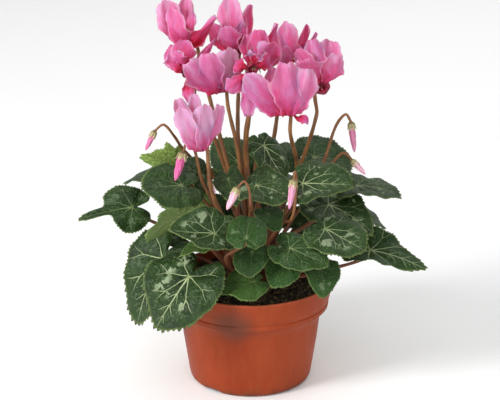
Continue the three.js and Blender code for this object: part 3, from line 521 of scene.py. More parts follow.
def add_leaf(body, leaf, order):
    """A leaf blade: polar rows of points, and a rim with four points to a tooth."""
    columns = 72 if leaf.fine else 60
    count = columns * 4
    shares = np.array([0.07, 0.15, 0.24, 0.33, 0.42, 0.51, 0.6, 0.69, 0.77, 0.85, 0.92, 0.97])
    turns, rim_turns = (-np.pi + 2 * np.pi * np.arange(n) / n for n in (columns, count))
    teeth = np.tile([0.940, 0.974, 1.0, 0.980], columns)
    teeth *= 1 + 0.012 * np.sin(np.arange(count) // 4 * 2.4 + order)
    share = np.concatenate([[0.0], np.repeat(shares, columns), np.ones(count)])
    angle = np.concatenate([[0.0], np.tile(turns, len(shares)), rim_turns])
    tooth = np.concatenate([[1.0], np.full(len(shares) * columns, 0.985), teeth])
    points, chart = leaf_surface(leaf, share, angle, tooth, order * 1.7)
    triangles = [(0, 1 + a, 1 + b) for a, b in around(columns)]
    last = 1 + (len(shares) - 1) * columns
    for row in range(1, last, columns):
        for a, b in around(columns):
            across = row + b + columns
            triangles += [(row + a, row + a + columns, across), (row + a, across, row + b)]
    first = last + columns
    for a, b in around(columns):
        rim = [first + (4 * a + j) % count for j in range(5)]
        triangles += [(last + a, rim[0], rim[1]), (last + a, rim[1], rim[2]), (last + a, rim[2], last + b)]
        triangles += [(last + b, rim[2], rim[3]), (last + b, rim[3], rim[4])]
    edge = [first + k for k in range(count)]
    half = BLADE_HALF * (1 - 0.45 * share**3)
    kind = [(s, leaf.tone, leaf.silver) for s in share]
    add_sheet(body, points, triangles, edge, half, chart, kind, 1)


# Stalks
def root_point(toward, distance):
    """A root on top of the tuber, on the side toward a point."""
    turn = math.atan2(toward[1], toward[0])
    height = TUBER_CENTRE + TUBER_HALF_HEIGHT * math.sqrt(1 - (distance / TUBER_RADIUS) ** 2) - 3
    return np.array([distance * math.cos(turn), distance * math.sin(turn), height])


def leaf_stalk(leaf, order):
    """Points and radii of a stalk that rises from the tuber and bends up to the underside of its blade."""
    base, _, _, normal, _ = leaf_axes(leaf)
    outward = unit((base[0], base[1], 0))
    low = base[2] < LOW_LEAF
    root = root_point(outward, (LOW_LEAF_RINGS if low else HIGH_LEAF_RINGS)[order % 2])
    end = base - normal * (BLADE_HALF + JOINT_GAP)
    aim = base - normal * 0.85
    rise = (aim[2] - root[2]) * (0.45 if low else 0.6)
    first = root + outward * math.hypot(aim[0], aim[1]) * 0.1 + np.array([0, 0, rise])
    arrive = unit(-0.5 * normal - 0.45 * outward - np.array([0, 0, 0.4]))
    second = aim + arrive * min(26, 0.3 * np.linalg.norm(aim - root))
    way = leaf.way or cubic(root, first, second, aim, (0.3, 0.62))
    points = [root, *way, aim + arrive * 6, end]
    return points, [LEAF_STALK_RADIUS * (1.15 - 0.3 * i / (len(points) - 1)) for i in range(len(points))]


def flower_axes(flower):
    up = unit(flower.up)
    return np.array(flower.mouth, float), up, square_to(flower.stalk_side, up)


def flower_stalk(flower, order):
    """Points and radii of a stalk that hooks over its flower and ends in the neck."""
    mouth, up, side = flower_axes(flower)
    points = [root_point(flower.way[0], FLOWER_RINGS[order % 2]), *flower.way]
    radii = [FLOWER_STALK_RADIUS * (1.1 - 0.05 * i) for i in range(len(points))]
    for out, high in FLOWER_HOOK:
        points.append(mouth + side * out + up * high)
        radii.append(1.0 if high > 0 else FLOWER_STALK_RADIUS * 0.85)
    return points + [mouth + up * 10.6, mouth + up * 8.6], radii + [1.2, 1.7]


def bud_axes(bud):
    joint = np.array(bud.path[-1], float)
    down = np.array(bud.tip, float) - joint
    length = np.linalg.norm(down)
    return joint, down / length, length


def bud_stalk(bud, order):
    joint, down, _ = bud_axes(bud)
    points = [root_point(bud.path[0], BUD_RINGS[order % 2]), *bud.path]
    radii = [1.4 - 0.09 * i for i in range(len(points))]
    return points + [joint + down * 1.4], radii + [bud.radius * 0.75]


def stalk_lines(stalks, name):
    """One edge line for each stalk, with its radius and its rise from the crown at each point."""
    points = []
    edges = []
    radii = []
    kinds = []
    for order, (corners, thickness, kind) in enumerate(stalks):
        path, radius = smooth_path(corners, thickness)
        first = len(points)
        points += [tuple(c * MM for c in p) for p in path]
        edges += [(first + i, first + i + 1) for i in range(len(path) - 1)]
        radii += [r * (1 + 0.06 * math.sin(0.9 * i + order)) * MM for i, r in enumerate(radius)]
        kinds += [(kind, p[2] / 200, order * 0.37 % 1) for p in path]
    mesh = bpy.data.meshes.new(name)
    mesh.from_pydata(points, edges, [])
    mesh.attributes.new("radius", "FLOAT", "POINT").data.foreach_set("value", radii)
    add_kinds(mesh, kinds)
    return mesh


def sepals(body, joint, up, rows, width, turn, dark):
    """A ring of five pointed sepals; rows are distance from the axis and height pairs from root to tip."""
    side = square_to((1, 0.3, 0.2), up)
    other = np.cross(up, side)
    triangles, edge = grid_faces(len(rows), 5)
    if rows[-1][1] < rows[0][1]:
        triangles = [(a, c, b) for a, b, c in triangles]
        edge = edge[::-1]
    for k in range(5):
        angle = 2 * math.pi * k / 5 + turn
        out = side * math.cos(angle) + other * math.sin(angle)
        across = np.cross(up, out)
        points = []
        chart = []
        for i, (far, high) in enumerate(rows):
            t = i / (len(rows) - 1)
            spread = width * (0.55 + 0.9 * t) * max(0.0, 1 - t**2.2)
            for a in (-1, -0.5, 0, 0.5, 1):
                points.append(joint + out * (far - 0.28 * spread * a * a) + across * a * spread + up * high)
                chart.append((0.5 + 0.5 * a, t))
        add_sheet(body, points, triangles, edge, [SEPAL_HALF] * len(points), chart, (dark, 0, 0))


# Flowers and buds
def mouth_axes(flower):
    """Middle of the mouth, way to the neck and its stretch: some flowers look up with a dark eye."""
    mouth, up, _ = flower_axes(flower)
    if flower.eye_at is None:
        return mouth, up, 1.0
    neck = mouth + up * NECK_HEIGHT
    mouth = np.array(flower.eye_at, float)
    return mouth, unit(neck - mouth), np.linalg.norm(neck - mouth) / NECK_HEIGHT


def petal_curve(flower, tip):
    """Corners of the cubic down the middle of a petal, and the way that its root is broad."""
    mouth, up, _ = mouth_axes(flower)
    out = tip - mouth
    height = out.dot(up)
    climb = max(0, height) / np.linalg.norm(out)
    out = unit(out - up * height)
    start = mouth + out * 2.6 + up * 2.0
    if height < HANGING:
        low = mouth + out * 8 + up * 2
        bend = mouth + out * 9 + up * -10
    else:
        low = mouth + out * (5.0 * flower.flare) + up * -flower.fold
        bend = mouth + out * ((14 - 6.4 * climb) * flower.flare) + up * (6.5 * climb)
    return (start, low, bend, tip), np.cross(up, out)


def petal_offsets(a, p, half, width, seed, droop, pointed):
    """How far a point lies beside, over and along a petal's middle; a runs across it, p to its tip."""
    edge = abs(a) ** 3
    side = 2.4 if a > 0 else 0
    grown_in = smooth_step(0.15, 0.6, p)
    notch = 0.10 * math.sin(12 * p + side + seed) + 0.08 * math.sin(27 * p - side + seed)
    notch += 0.04 * math.sin(61 * p + 2 * side)
    cupped = 0.17 * half * width * (1 - a * a)
    waved = 0.40 * half * edge * math.sin(9 * p + side + seed) * grown_in
    waved += 0.17 * half * edge * math.sin(24 * p - side + seed) * grown_in
    bowed = 0.17 * half * math.sin(math.pi * a + seed + 2 * p) * grown_in
    rippled = 0.075 * half * math.sin(7 * a + 9 * p + seed) * math.sin(11 * p + seed) * grown_in
    rolled = 0.18 * half * edge * smooth_step(0.6, 1.0, p) * (1 if math.sin(seed * 5) > 0 else -0.8)
    bent_back = -0.22 * half * smooth_step(0.75, 1.05, p) * droop
    topped = 0.32 * (1 - abs(a) ** 3) + 0.07 * math.sin(5 * a + seed)
    topped += 0.035 * math.sin(13 * a - seed) + 0.025 * math.sin(23 * a + 2 * seed)
    lifted = half * topped * smooth_step(0.8, 1.0, p) * (1 - 0.8 * pointed)
    across = a * half * width * (1 + edge * notch)
    return across, cupped + waved + bowed + rippled + rolled + bent_back, lifted


def petal_sheet(body, flower, order):
    """A reflexed petal to the tip of its solid, rounded there, with softly waved edges."""
    *tip, half, azimuth = flower.petals[order]
    curve, rooted = petal_curve(flower, np.array(tip, float))
    half *= flower.widths[order]
    pointed = flower.points[order]
    azimuth = math.radians(azimuth * flower.turned_out)
    shown = np.array([math.sin(azimuth), -math.cos(azimuth), 0.15])
    rows = np.linspace(0, 1, 27)
    columns = np.linspace(-1, 1, 25)
    seed = order * 1.9 + len(flower.name)
    droop = 1 if order % 2 else 0.3
    points = []
    chart = []
    halves = []
    for p in rows:
        before, centre, after = (cubic(*curve, p + step) for step in (-1e-3, 0, 1e-3))
        tangent = unit(after - before)
        shown_side = unit(np.cross(tangent, shown))
        lean = min(1, p / 0.5)
        if shown_side.dot(broad if lean == 1 else rooted) < 0:
            shown_side = -shown_side
        broad = square_to(rooted * (1 - lean) + shown_side * lean, tangent)
        turned = 0.5 * math.sin(seed * 2.1) * smooth_step(0.25, 1, p)
        broadside = broad * math.cos(turned) + np.cross(broad, tangent) * math.sin(turned)
        facing = np.cross(broadside, tangent)
        width = np.interp(p, *PETAL_WIDTHS)
        width *= 1 - 0.86 * pointed * smooth_step(0.5, 1.04, p)
        for a in columns:
            across, rise, lifted = petal_offsets(a, p, half, width, seed, droop, pointed)
            points.append(centre + broadside * across + facing * rise + tangent * lifted)
            chart.append((0.5 + 0.5 * a, p))
            halves.append(PETAL_HALF * (1.25 - 0.5 * p) * (1 - 0.35 * abs(a) ** 3))
    kind = (flower.tones[order], order * 0.21, flower.eye)
    add_sheet(body, points, *grid_faces(len(rows), len(columns)), halves, chart, kind)


def lobed(turns, height):
    """The mouth of the throat has five shallow lobes."""
    return 1 + 0.06 * np.cos(5 * turns) * (height < 6)


def flower_mesh(flower, finishes):
    """The throat with its pistil, and the petals round its mouth."""
    body = Body()
    mouth, up, deep = mouth_axes(flower)
    throat = [(0.5, 4.6), (1.8, 4.2), (2.4, 2.9), (2.8, 1.4), (3.1, 0.5), (3.5, 0.5), (4.1, 1.6), (4.2, 3.2)]
    throat += [(4.1, 5.0), (3.5, 6.6), (2.4, 7.8), (1.2, NECK_HEIGHT)]
    heights = [height / 9 for _, height in throat]
    rings = [1] * 5 + [flower.ring] * 7
    throat = [(radius * ring, height * deep) for ring, (radius, height) in zip(rings, throat)]
    add_rings(body, turned_rings(mouth, up, throat, 30, lobed), heights, (0.5, 0, 1), 1)
    pistil = turned_rings(mouth, -up, [(0.25, -4.4), (0.3, -2.0), (0.32, 0.6), (0.12, 0.9)], 8)
    add_rings(body, pistil, (0, 0.3, 0.8, 1), (0.5, 0, 0), 2)
    for order in range(5):
        petal_sheet(body, flower, order)
    return body.mesh("bloom_" + flower.name, finishes)


def folded(turns, height):
    """Five overlapping turns that wind round the length of a bud."""
    wound = (5 * (turns + 0.19 * height) / (2 * np.pi)) % 1
    return 1 + 0.17 * (wound - 0.5)


def bud_mesh(bud, number, finish):
    """A rolled bud."""
    joint, down, length = bud_axes(bud)
    heights = np.concatenate([np.linspace(0, 0.9, 26), np.linspace(0.92, 1, 6)])
    profile = [(bud.radius * np.interp(h, *BUD_WIDTHS), 2.0 + (length - 2.0) * h) for h in heights]
    body = Body()
    add_rings(body, turned_rings(joint, down, profile, 40, folded), heights, (bud.pale, number * 0.17, 0))
    return body.mesh("rolled_bud_" + bud.name, [finish])


# Node trees
def operator(operation, reflected=False):
    """An operator of Value that adds a Math node."""

    def apply(self, other=None):
        pair = (other, self) if reflected else (self, other)
        return self.nodes.math(operation, *pair)

    return apply


class Value:
    """A socket that grows Math nodes when it is used in an expression."""

    def __init__(self, nodes, socket):
        self.nodes = nodes
        self.socket = socket

    __add__ = operator("ADD")
    __radd__ = operator("ADD", True)
    __sub__ = operator("SUBTRACT")
    __rsub__ = operator("SUBTRACT", True)
    __mul__ = operator("MULTIPLY")
    __rmul__ = operator("MULTIPLY", True)
    __truediv__ = operator("DIVIDE")
    __rtruediv__ = operator("DIVIDE", True)
    __pow__ = operator("POWER")
    __rpow__ = operator("POWER", True)
    __abs__ = operator("ABSOLUTE")


class Nodes:
    """A node tree under construction."""

    def __init__(self, tree):
        self.tree = tree

    def node(self, kind, settings=None, sockets=None, output=0):
        """Makes a node from its settings, then values or links of sockets; output None gives all outputs."""
        node = self.tree.nodes.new(kind)
        for key, setting in (settings or {}).items():
            setattr(node, key, setting)
        for key, value in (sockets or {}).items():
            if isinstance(value, Value):
                self.tree.links.new(value.socket, node.inputs[key])
            elif value is not None:
                node.inputs[key].default_value = value
        values = [Value(self, socket) for socket in node.outputs]
        return values if output is None or not values else values[output]

    def math(self, operation, first, second=None, clamp=False):
        settings = {"operation": operation, "use_clamp": clamp}
        return self.node("ShaderNodeMath", settings, {0: first, 1: second})


class Growth(Nodes):
    """A Geometry Nodes tree with named inputs; keys holds the identifier of each."""

    def __init__(self, name, inputs):
        super().__init__(bpy.data.node_groups.new(name, "GeometryNodeTree"))
        new_socket = self.tree.interface.new_socket
        self.keys = {}
        for label, kind in {"Base": "Geometry", **inputs, "Finish": "Material"}.items():
            made = new_socket(label, in_out="INPUT", socket_type="NodeSocket" + kind)
            self.keys[label] = made.identifier
        new_socket("Result", in_out="OUTPUT", socket_type="NodeSocketGeometry")
        self.inputs = dict(zip(self.keys, self.node("NodeGroupInput", output=None)))

    def end(self, geometry):
        """Ends the tree in one plain mesh with its finish."""
        whole = self.node("GeometryNodeRealizeInstances", None, {"Geometry": geometry})
        sockets = {"Geometry": whole, "Material": self.inputs["Finish"]}
        painted = self.node("GeometryNodeSetMaterial", None, sockets)
        self.node("NodeGroupOutput", None, {"Result": painted})

    def grown(self, base, name, values):
        """The mesh that the tree makes of a base mesh; its inputs are set before it is evaluated."""
        carrier = linked(name + "_base", base)
        modifier = carrier.modifiers.new("grow", "NODES")
        modifier.node_group = self.tree
        for label, value in values.items():
            modifier[self.keys[label]] = value
        return settled(carrier, name)


def sweep_tree():
    """A tree that sweeps a round section along lines, with a radius at each point."""
    growth = Growth("sweep_stalks", {"Sides": "Int"})
    lines = growth.node("GeometryNodeMeshToCurve", None, {"Mesh": growth.inputs["Base"]})
    sockets = {"Resolution": growth.inputs["Sides"], "Radius": 1.0}
    section = growth.node("GeometryNodeCurvePrimitiveCircle", None, sockets)
    radius = growth.node("GeometryNodeInputNamedAttribute", {"data_type": "FLOAT"}, {"Name": "radius"})
    sockets = {"Curve": lines, "Profile Curve": section, "Scale": radius, "Fill Caps": True}
    swept = growth.node("GeometryNodeCurveToMesh", None, sockets)
    growth.end(growth.node("GeometryNodeSetShadeSmooth", None, {"Geometry": swept}))
    return growth


def scatter_tree(shapes):
    """A tree that lays the shapes of a collection on upward faces."""
    inputs = {"Density": "Float", "Smallest": "Float", "Largest": "Float", "Lean": "Float", "Seed": "Int"}
    growth = Growth("scatter_" + shapes.name, inputs)
    base, density, smallest, largest, lean, seed, _ = growth.inputs.values()
    upright = parts(growth.node("GeometryNodeInputNormal"))[2]
    settings = {"data_type": "FLOAT", "operation": "GREATER_THAN"}
    upward = growth.node("FunctionNodeCompare", settings, {0: upright, 1: LEAST_UPRIGHT})
    sockets = {"Mesh": base, "Selection": upward, "Density": density, "Seed": seed}
    spread = growth.node("GeometryNodeDistributePointsOnFaces", None, sockets)
    sockets = {"Collection": shapes, "Separate Children": True, "Reset Children": True}
    stock = growth.node("GeometryNodeCollectionInfo", None, sockets)
    back = lean * -1.0
    sockets = {0: joined(back, back, 0.0), 1: joined(lean, lean, FULL_TURN), "Seed": seed}
    turn = growth.node("FunctionNodeRandomValue", {"data_type": "FLOAT_VECTOR"}, sockets)
    sockets = {2: smallest, 3: largest, "Seed": seed}
    size = growth.node("FunctionNodeRandomValue", {"data_type": "FLOAT"}, sockets, 1)
    sockets = {"Points": spread, "Instance": stock, "Rotation": turn, "Scale": size, "Pick Instance": True}
    growth.end(growth.node("GeometryNodeInstanceOnPoints", None, sockets))
    return growth


# Finishes
class Finish(Nodes):
    """One material under construction."""

    def __init__(self, name):
        self.material = bpy.data.materials.new(name)
        self.material.use_nodes = True
        super().__init__(self.material.node_tree)
        self.tree.nodes.clear()

    def place(self):
        return self.node("ShaderNodeTexCoord", output=3)

    def chart(self):
        return self.node("ShaderNodeUVMap", {"uv_map": "chart"})

    def kind(self):
        settings = {"attribute_name": "kind", "attribute_type": "GEOMETRY"}
        return parts(self.node("ShaderNodeAttribute", settings, output=1))

    def done(self, colour, roughness, height=None, depth=0.0003, strength=0.5, **fixed):
        """Ends the material in a Principled shader; fixed are sockets with the same value all over."""
        sockets = {"Base Color": colour, "Roughness": roughness}
        if height is not None:
            bump = {"Strength": strength, "Distance": depth, "Height": height}
            sockets["Normal"] = self.node("ShaderNodeBump", None, bump)
        sockets.update({key.replace("_", " "): value for key, value in fixed.items()})
        shader = self.node("ShaderNodeBsdfPrincipled", None, sockets)
        self.node("ShaderNodeOutputMaterial", None, {"Surface": shader})
        return self.material


def clamp(value):
    return value.nodes.math("ADD", value, 0.0, True)


def most(first, second):
    return first.nodes.math("MAXIMUM", first, second)


def soft(value, low, high):
    """0 at low and 1 at high, with a smooth step between them; low may be the larger."""
    settings = {"interpolation_type": "SMOOTHSTEP"}
    return value.nodes.node("ShaderNodeMapRange", settings, {0: value, 1: low, 2: high, 3: 0.0, 4: 1.0})


def blend(share, first, second):
    """A colour between two colours."""
    first, second = (side if isinstance(side, Value) else (*side, 1) for side in (first, second))
    return share.nodes.node("ShaderNodeMix", {"data_type": "RGBA"}, {0: share, 6: first, 7: second}, 2)


def coated(colour, *coats):
    """A colour under coats of other colours, each with its share."""
    for share, coat in coats:
        colour = blend(share, colour, coat)
    return colour


def parts(vector):
    return vector.nodes.node("ShaderNodeSeparateXYZ", None, {0: vector}, None)


def joined(x, y, z):
    return x.nodes.node("ShaderNodeCombineXYZ", None, {0: x, 1: y, 2: z})


def shift(vector, offset):
    return vector.nodes.node("ShaderNodeVectorMath", {"operation": "ADD"}, {0: vector, 1: offset})


def stretch(vector, *factors):
    return vector.nodes.node("ShaderNodeVectorMath", {"operation": "MULTIPLY"}, {0: vector, 1: factors})


def cloudy(vector, scale, detail=3.0, roughness=0.55):
    """Values between 0 and 1 of a noise pattern."""
    sockets = {"Vector": vector, "Scale": scale, "Detail": detail, "Roughness": roughness}
    return vector.nodes.node("ShaderNodeTexNoise", None, sockets)


def cracked(vector, scale):
    """Distance to the nearest edge of a net of cells."""
    settings = {"feature": "DISTANCE_TO_EDGE"}
    return vector.nodes.node("ShaderNodeTexVoronoi", settings, {"Vector": vector, "Scale": scale})


def vein_mask(along, across, start, end, wide, narrow):
    """Mask of one vein, a straight taper from start to end on the leaf's chart."""
    run = (end[0] - start[0], end[1] - start[1])
    x = along - start[0]
    y = across - start[1]
    share = clamp((x * run[0] + y * run[1]) / (run[0] ** 2 + run[1] ** 2))
    off_x = x - share * run[0]
    off_y = y - share * run[1]
    gap = (off_x * off_x + off_y * off_y) ** 0.5
    return soft(gap / (wide - share * (wide - narrow)), 1.25, 0.6)


def leaf_finish(under):
    """A leaf's upper side, with pale veins and a band of silver patches, or its plainer underside."""
    finish = Finish("leaf_under" if under else "leaf_upper")
    chart = finish.chart()
    share, tone, silver = finish.kind()
    bent = shift(chart, joined(tone * 23 + silver * 11, silver * 7, 0.0))
    u, v, _ = parts(chart)
    sway_u = (cloudy(bent, 7.0, 2.0) - 0.5) * 0.07
    sway_v = (cloudy(shift(bent, (3.7, 1.9, 0.5)), 7.0, 2.0) - 0.5) * 0.07
    along = (u - 0.4) * 2 + sway_u
    side = (v - 0.5) * 2
    across = abs(side + sway_v * soft(abs(side), 0.0, 0.12))
    veins = reduce(most, [vein_mask(along, across, *vein) for vein in VEINS])
    net = soft(cracked(stretch(bent, 1.0, 1.0, 0.0), 15.0), 0.09, 0.02)
    broad = cloudy(bent, 5.0, 3.0)
    mottled = cloudy(bent, 26.0, 4.0)
    if under:
        leaf = coated(
            (0.16, 0.25, 0.07),
            (clamp(broad), (0.25, 0.36, 0.12)),
            (net * 0.25, (0.33, 0.42, 0.18)),
            (veins, (0.38, 0.42, 0.20)),
        )
        height = veins * 1.5 + net * 0.2 + mottled * 0.3
        return finish.done(leaf, 0.6, height, 0.0005, 0.6, Subsurface_Weight=0.12, Subsurface_Scale=0.001)
    band = soft(share, 0.30, 0.48) * soft(share, 0.86, 0.70)
    blot = cloudy(shift(bent, (9.1, 4.3, 2.2)), 6.5, 3.0, 0.6)
    patch = soft(blot, 0.60, 0.625) * band * soft(silver, 0.05, 0.95)
    marble = soft(mottled + (broad - 0.5) * 0.5, 0.56, 0.66) * band * silver * 0.45
    # Pale flecks: partly the leaf's own silver flecks, partly painted glints
    flecked = cloudy(bent, 60.0, 2.0)
    fleck_and_glint = soft(flecked, 0.60, 0.70) * soft(share, 0.15, 0.4) * soft(share, 0.95, 0.75)
    pale = blend(silver, (0.150, 0.250, 0.090), (0.450, 0.530, 0.280))
    faded = soft(silver, 0.25, 1.0) * soft(share, 1.3, 0.5) + soft(share, 0.5, 0.0) * 0.35
    young = blend(soft(mottled, 0.35, 0.65), (0.140, 0.235, 0.040), (0.290, 0.400, 0.095))
    leaf = coated(
        (0.006, 0.019, 0.003),
        (soft(broad, 0.3, 0.7), (0.021, 0.050, 0.008)),
        (soft(tone, 0.2, 0.9) * 0.7, (0.022, 0.082, 0.009)),
        (soft(mottled, 0.5, 0.72) * 0.55, (0.055, 0.108, 0.030)),
        # Pale flecks, partly painted glints
        (fleck_and_glint * (0.45 + 0.35 * silver), (0.185, 0.270, 0.125)),
        (marble, (0.130, 0.185, 0.105)),
        (net * 0.16, (0.060, 0.110, 0.040)),
        (patch * 0.85, (0.310, 0.385, 0.230)),
        (veins * clamp(0.24 + 0.74 * faded), pale),
        (soft(share, 0.13, 0.01) * 0.6, (0.230, 0.280, 0.100)),
        (soft(share, 0.935, 0.99) * 0.7, (0.170, 0.230, 0.070)),
        (soft(tone, 0.9, 1.0) * 0.85, young),
    )
    rough = 0.38 + mottled * 0.22 + patch * 0.1
    height = mottled * 0.6 + flecked * 0.3 - veins * 0.9 - net * 0.3
    return finish.done(leaf, rough, height, 0.0013, 0.95, Specular_IOR_Level=0.26)


def petal_finish():
    finish = Finish("petal")
    chart = finish.chart()
    tone, seed, eye = finish.kind()
    u, v, _ = parts(chart)
    fan = joined((u - 0.5) * 11 * (1.15 - v * 0.35) + seed * 9, v * 1.1, 0.0)
    streaks = cloudy(fan, 2.6, 3.0, 0.6)
    cloud = cloudy(shift(chart, joined(seed * 13, seed * 5, 0.0)), 4.2, 4.0, 0.62)
    # A higher tone makes a petal deeper crimson: partly its own colour, partly painted shade on petals that
    # lie in shade
    rise = v + (streaks - 0.5) * 0.34 + (cloud - 0.5) * 0.85 - tone * 0.26 - 0.09
    rim = soft(abs(u - 0.5) + v * 0.05, 0.43, 0.50)
    stain = soft(v + (streaks - 0.5) * 0.1 - eye * 0.14, 0.20, 0.10)
    petal = coated(
        (0.38, 0.004, 0.035),
        (soft(rise, 0.02, 0.18), (0.51, 0.024, 0.100)),
        (soft(rise, 0.15, 0.42), (0.52, 0.060, 0.195)),
        (soft(rise, 0.40, 0.66), (0.55, 0.132, 0.310)),
        (soft(rise, 0.62, 0.90), (0.60, 0.300, 0.480)),
        (rim * soft(v, 0.25, 0.7) * 0.5, (0.66, 0.370, 0.540)),
        (soft(streaks, 0.55, 0.78) * 0.3, (0.45, 0.034, 0.160)),
        (stain * 0.9, (0.140, 0.003, 0.022)),
    )
    height = streaks * 0.8 + cloud * 0.6 + cloudy(finish.place(), 900.0, 2.0) * 0.15
    fixed = dict(Subsurface_Weight=0.5, Subsurface_Scale=0.004, Specular_IOR_Level=0.3)
    return finish.done(petal, 0.5 + streaks * 0.2, height, 0.0014, 0.6, **fixed)


def throat_finish():
    finish = Finish("throat")
    _, v, _ = parts(finish.chart())
    speckle = cloudy(finish.place(), 700.0, 3.0)
    rise = v + (speckle - 0.5) * 0.08
    cup = coated(
        (0.120, 0.003, 0.020),
        (soft(rise, 0.0, 0.12), (0.300, 0.006, 0.040)),
        (soft(rise, 0.35, 0.8), (0.62, 0.10, 0.22)),
    )
    fixed = dict(Subsurface_Weight=0.1, Subsurface_Scale=0.001)
    return finish.done(cup, 0.45 + speckle * 0.2, speckle, 0.0003, 0.4, **fixed)


def pistil_finish():
    finish = Finish("pistil")
    speckle = cloudy(finish.place(), 1500.0, 2.0)
    tip = blend(speckle, (0.42, 0.10, 0.12), (0.62, 0.34, 0.22))
    return finish.done(tip, 0.5 + speckle * 0.2, speckle, 0.0002, 0.4)


def bud_finish():
    finish = Finish("rolled_petal")
    u, v, _ = parts(finish.chart())
    pale, seed, _ = finish.kind()
    wound = (u + v * 0.19 / FULL_TURN) * 5
    groove = abs(finish.math("FRACT", wound) - 0.5) * 2
    streak = cloudy(joined(u * 14 + v * 4, v * 2.0, seed * 20), 2.0, 3.0)
    bud = coated(
        (0.50, 0.036, 0.180),
        (soft(streak + v * 0.3, 0.3, 0.8), (0.66, 0.150, 0.360)),
        (pale, (0.86, 0.60, 0.68)),
        (soft(v, 0.22, 0.0) * 0.5, (0.80, 0.70, 0.52)),
        (soft(groove, 0.65, 1.0) * 0.65, (0.42, 0.02, 0.14)),
    )
    fixed = dict(Subsurface_Weight=0.2, Subsurface_Scale=0.0015)
    return finish.done(bud, 0.45 + streak * 0.15, streak, 0.0003, 0.5, **fixed)


def sepal_finish():
    finish = Finish("calyx")
    u, v, _ = parts(finish.chart())
    dark, _, _ = finish.kind()
    speckle = cloudy(finish.place(), 600.0, 3.0)
    rib = soft(abs(u - 0.5), 0.12, 0.0)
    green = coated(
        (0.46, 0.43, 0.20),
        (soft(speckle, 0.4, 0.65), (0.28, 0.24, 0.10)),
        (soft(v, 0.35, 0.9) * 0.7, (0.66, 0.58, 0.34)),
        (soft(v, 0.30, 0.0) * 0.8, (0.120, 0.065, 0.028)),
        (rib * 0.75, (0.16, 0.06, 0.03)),
        (dark * 0.6, (0.13, 0.035, 0.03)),
    )
    return finish.done(green, 0.5 + speckle * 0.2, speckle + rib * 0.5, 0.0003, 0.5)


def stalk_finish():
    finish = Finish("stalk")
    place = finish.place()
    maroon, rise, _ = finish.kind()
    long_grain = cloudy(stretch(place, 900.0, 900.0, 60.0), 1.0, 3.0)
    patchy = cloudy(place, 90.0, 3.0)
    speckle = cloudy(place, 1100.0, 2.0)
    low = blend(patchy, (0.105, 0.020, 0.014), (0.190, 0.052, 0.026))
    stalk = coated(
        (0.145, 0.056, 0.016),
        (soft(patchy, 0.35, 0.65), (0.240, 0.106, 0.030)),
        (soft(rise, 0.85, 1.25) * 0.3, (0.400, 0.190, 0.062)),
        (soft(rise + maroon * 0.12, 0.80, 0.48) * 0.85, low),
        (maroon * 0.55, (0.200, 0.052, 0.026)),
        (soft(long_grain, 0.55, 0.8) * 0.4, (0.430, 0.215, 0.090)),
        (soft(speckle, 0.62, 0.75) * 0.3, (0.120, 0.032, 0.018)),
    )
    height = long_grain * 0.7 + speckle * 0.3
    fixed = dict(Subsurface_Weight=0.05, Subsurface_Scale=0.001)
    return finish.done(stalk, 0.42 + patchy * 0.2, height, 0.0003, 0.5, **fixed)


def tuber_finish():
    finish = Finish("tuber_cork")
    place = finish.place()
    lumps = cloudy(place, 110.0, 4.0)
    crack = soft(cracked(place, 230.0), 0.10, 0.0)
    cork = coated(
        (0.060, 0.026, 0.014),
        (soft(lumps, 0.3, 0.7), (0.170, 0.085, 0.045)),
        (crack * 0.7, (0.018, 0.008, 0.005)),
    )
    return finish.done(cork, 0.85, lumps - crack * 0.6, 0.0015, 0.8)


def pot_finish():
    """Drawn plastic with dust, a rubbed rim, grime at the foot, painted shade at the flare step and a painted
    leaf shadow on the front.
    """
    finish = Finish("pot_plastic")
    place = finish.place()
    x, y, z = parts(place)
    cloud = cloudy(stretch(place, 1.0, 1.0, 0.45), 28.0, 4.0, 0.6)
    drawn = cloudy(stretch(place, 1.0, 1.0, 0.03), 420.0, 3.0)
    speck = cloudy(place, 1500.0, 2.0)
    dust = cloudy(stretch(place, 1.0, 1.0, 0.7), 75.0, 5.0, 0.65)
    # A soft dark patch on the front below the rim: the painted shadow of the front leaves
    shadow_x = (x + 0.0135) / 0.020
    shadow_z = (z - 0.0625) / 0.018
    painted_leaf_shadow = (shadow_x * shadow_x + shadow_z * shadow_z) ** 0.5 + (dust - 0.5) * 0.5
    painted_leaf_shadow = soft(painted_leaf_shadow, 1.15, 0.25) * soft(y, 0.0, -0.03)
    grime = soft(z, 0.009, 0.0) * soft(dust, 0.4, 0.65)
    pot = coated(
        (0.265, 0.037, 0.009),
        (soft(cloud, 0.3, 0.7), (0.330, 0.053, 0.014)),
        (soft(drawn, 0.5, 0.75) * 0.16, (0.420, 0.095, 0.038)),
        (soft(dust, 0.56, 0.75) * 0.22, (0.280, 0.090, 0.050)),
        # Painted shadow of the front leaves
        (painted_leaf_shadow * 0.72, (0.100, 0.042, 0.028)),
        (soft(z, 0.0775, 0.0805) * 0.3, (0.480, 0.140, 0.070)),
        (grime * 0.6, (0.100, 0.040, 0.022)),
        # A thin dark ring at the lower edge of the flare step: painted shade
        (soft(abs(z - 0.0583), 0.0009, 0.0002) * 0.45, (0.180, 0.040, 0.018)),
    )
    rough = 0.42 + soft(dust, 0.4, 0.8) * 0.2 + drawn * 0.08
    height = speck * 0.35 + drawn * 0.5 + cloud * 0.15
    return finish.done(pot, rough, height, 0.0003, 0.4, Specular_IOR_Level=0.15)


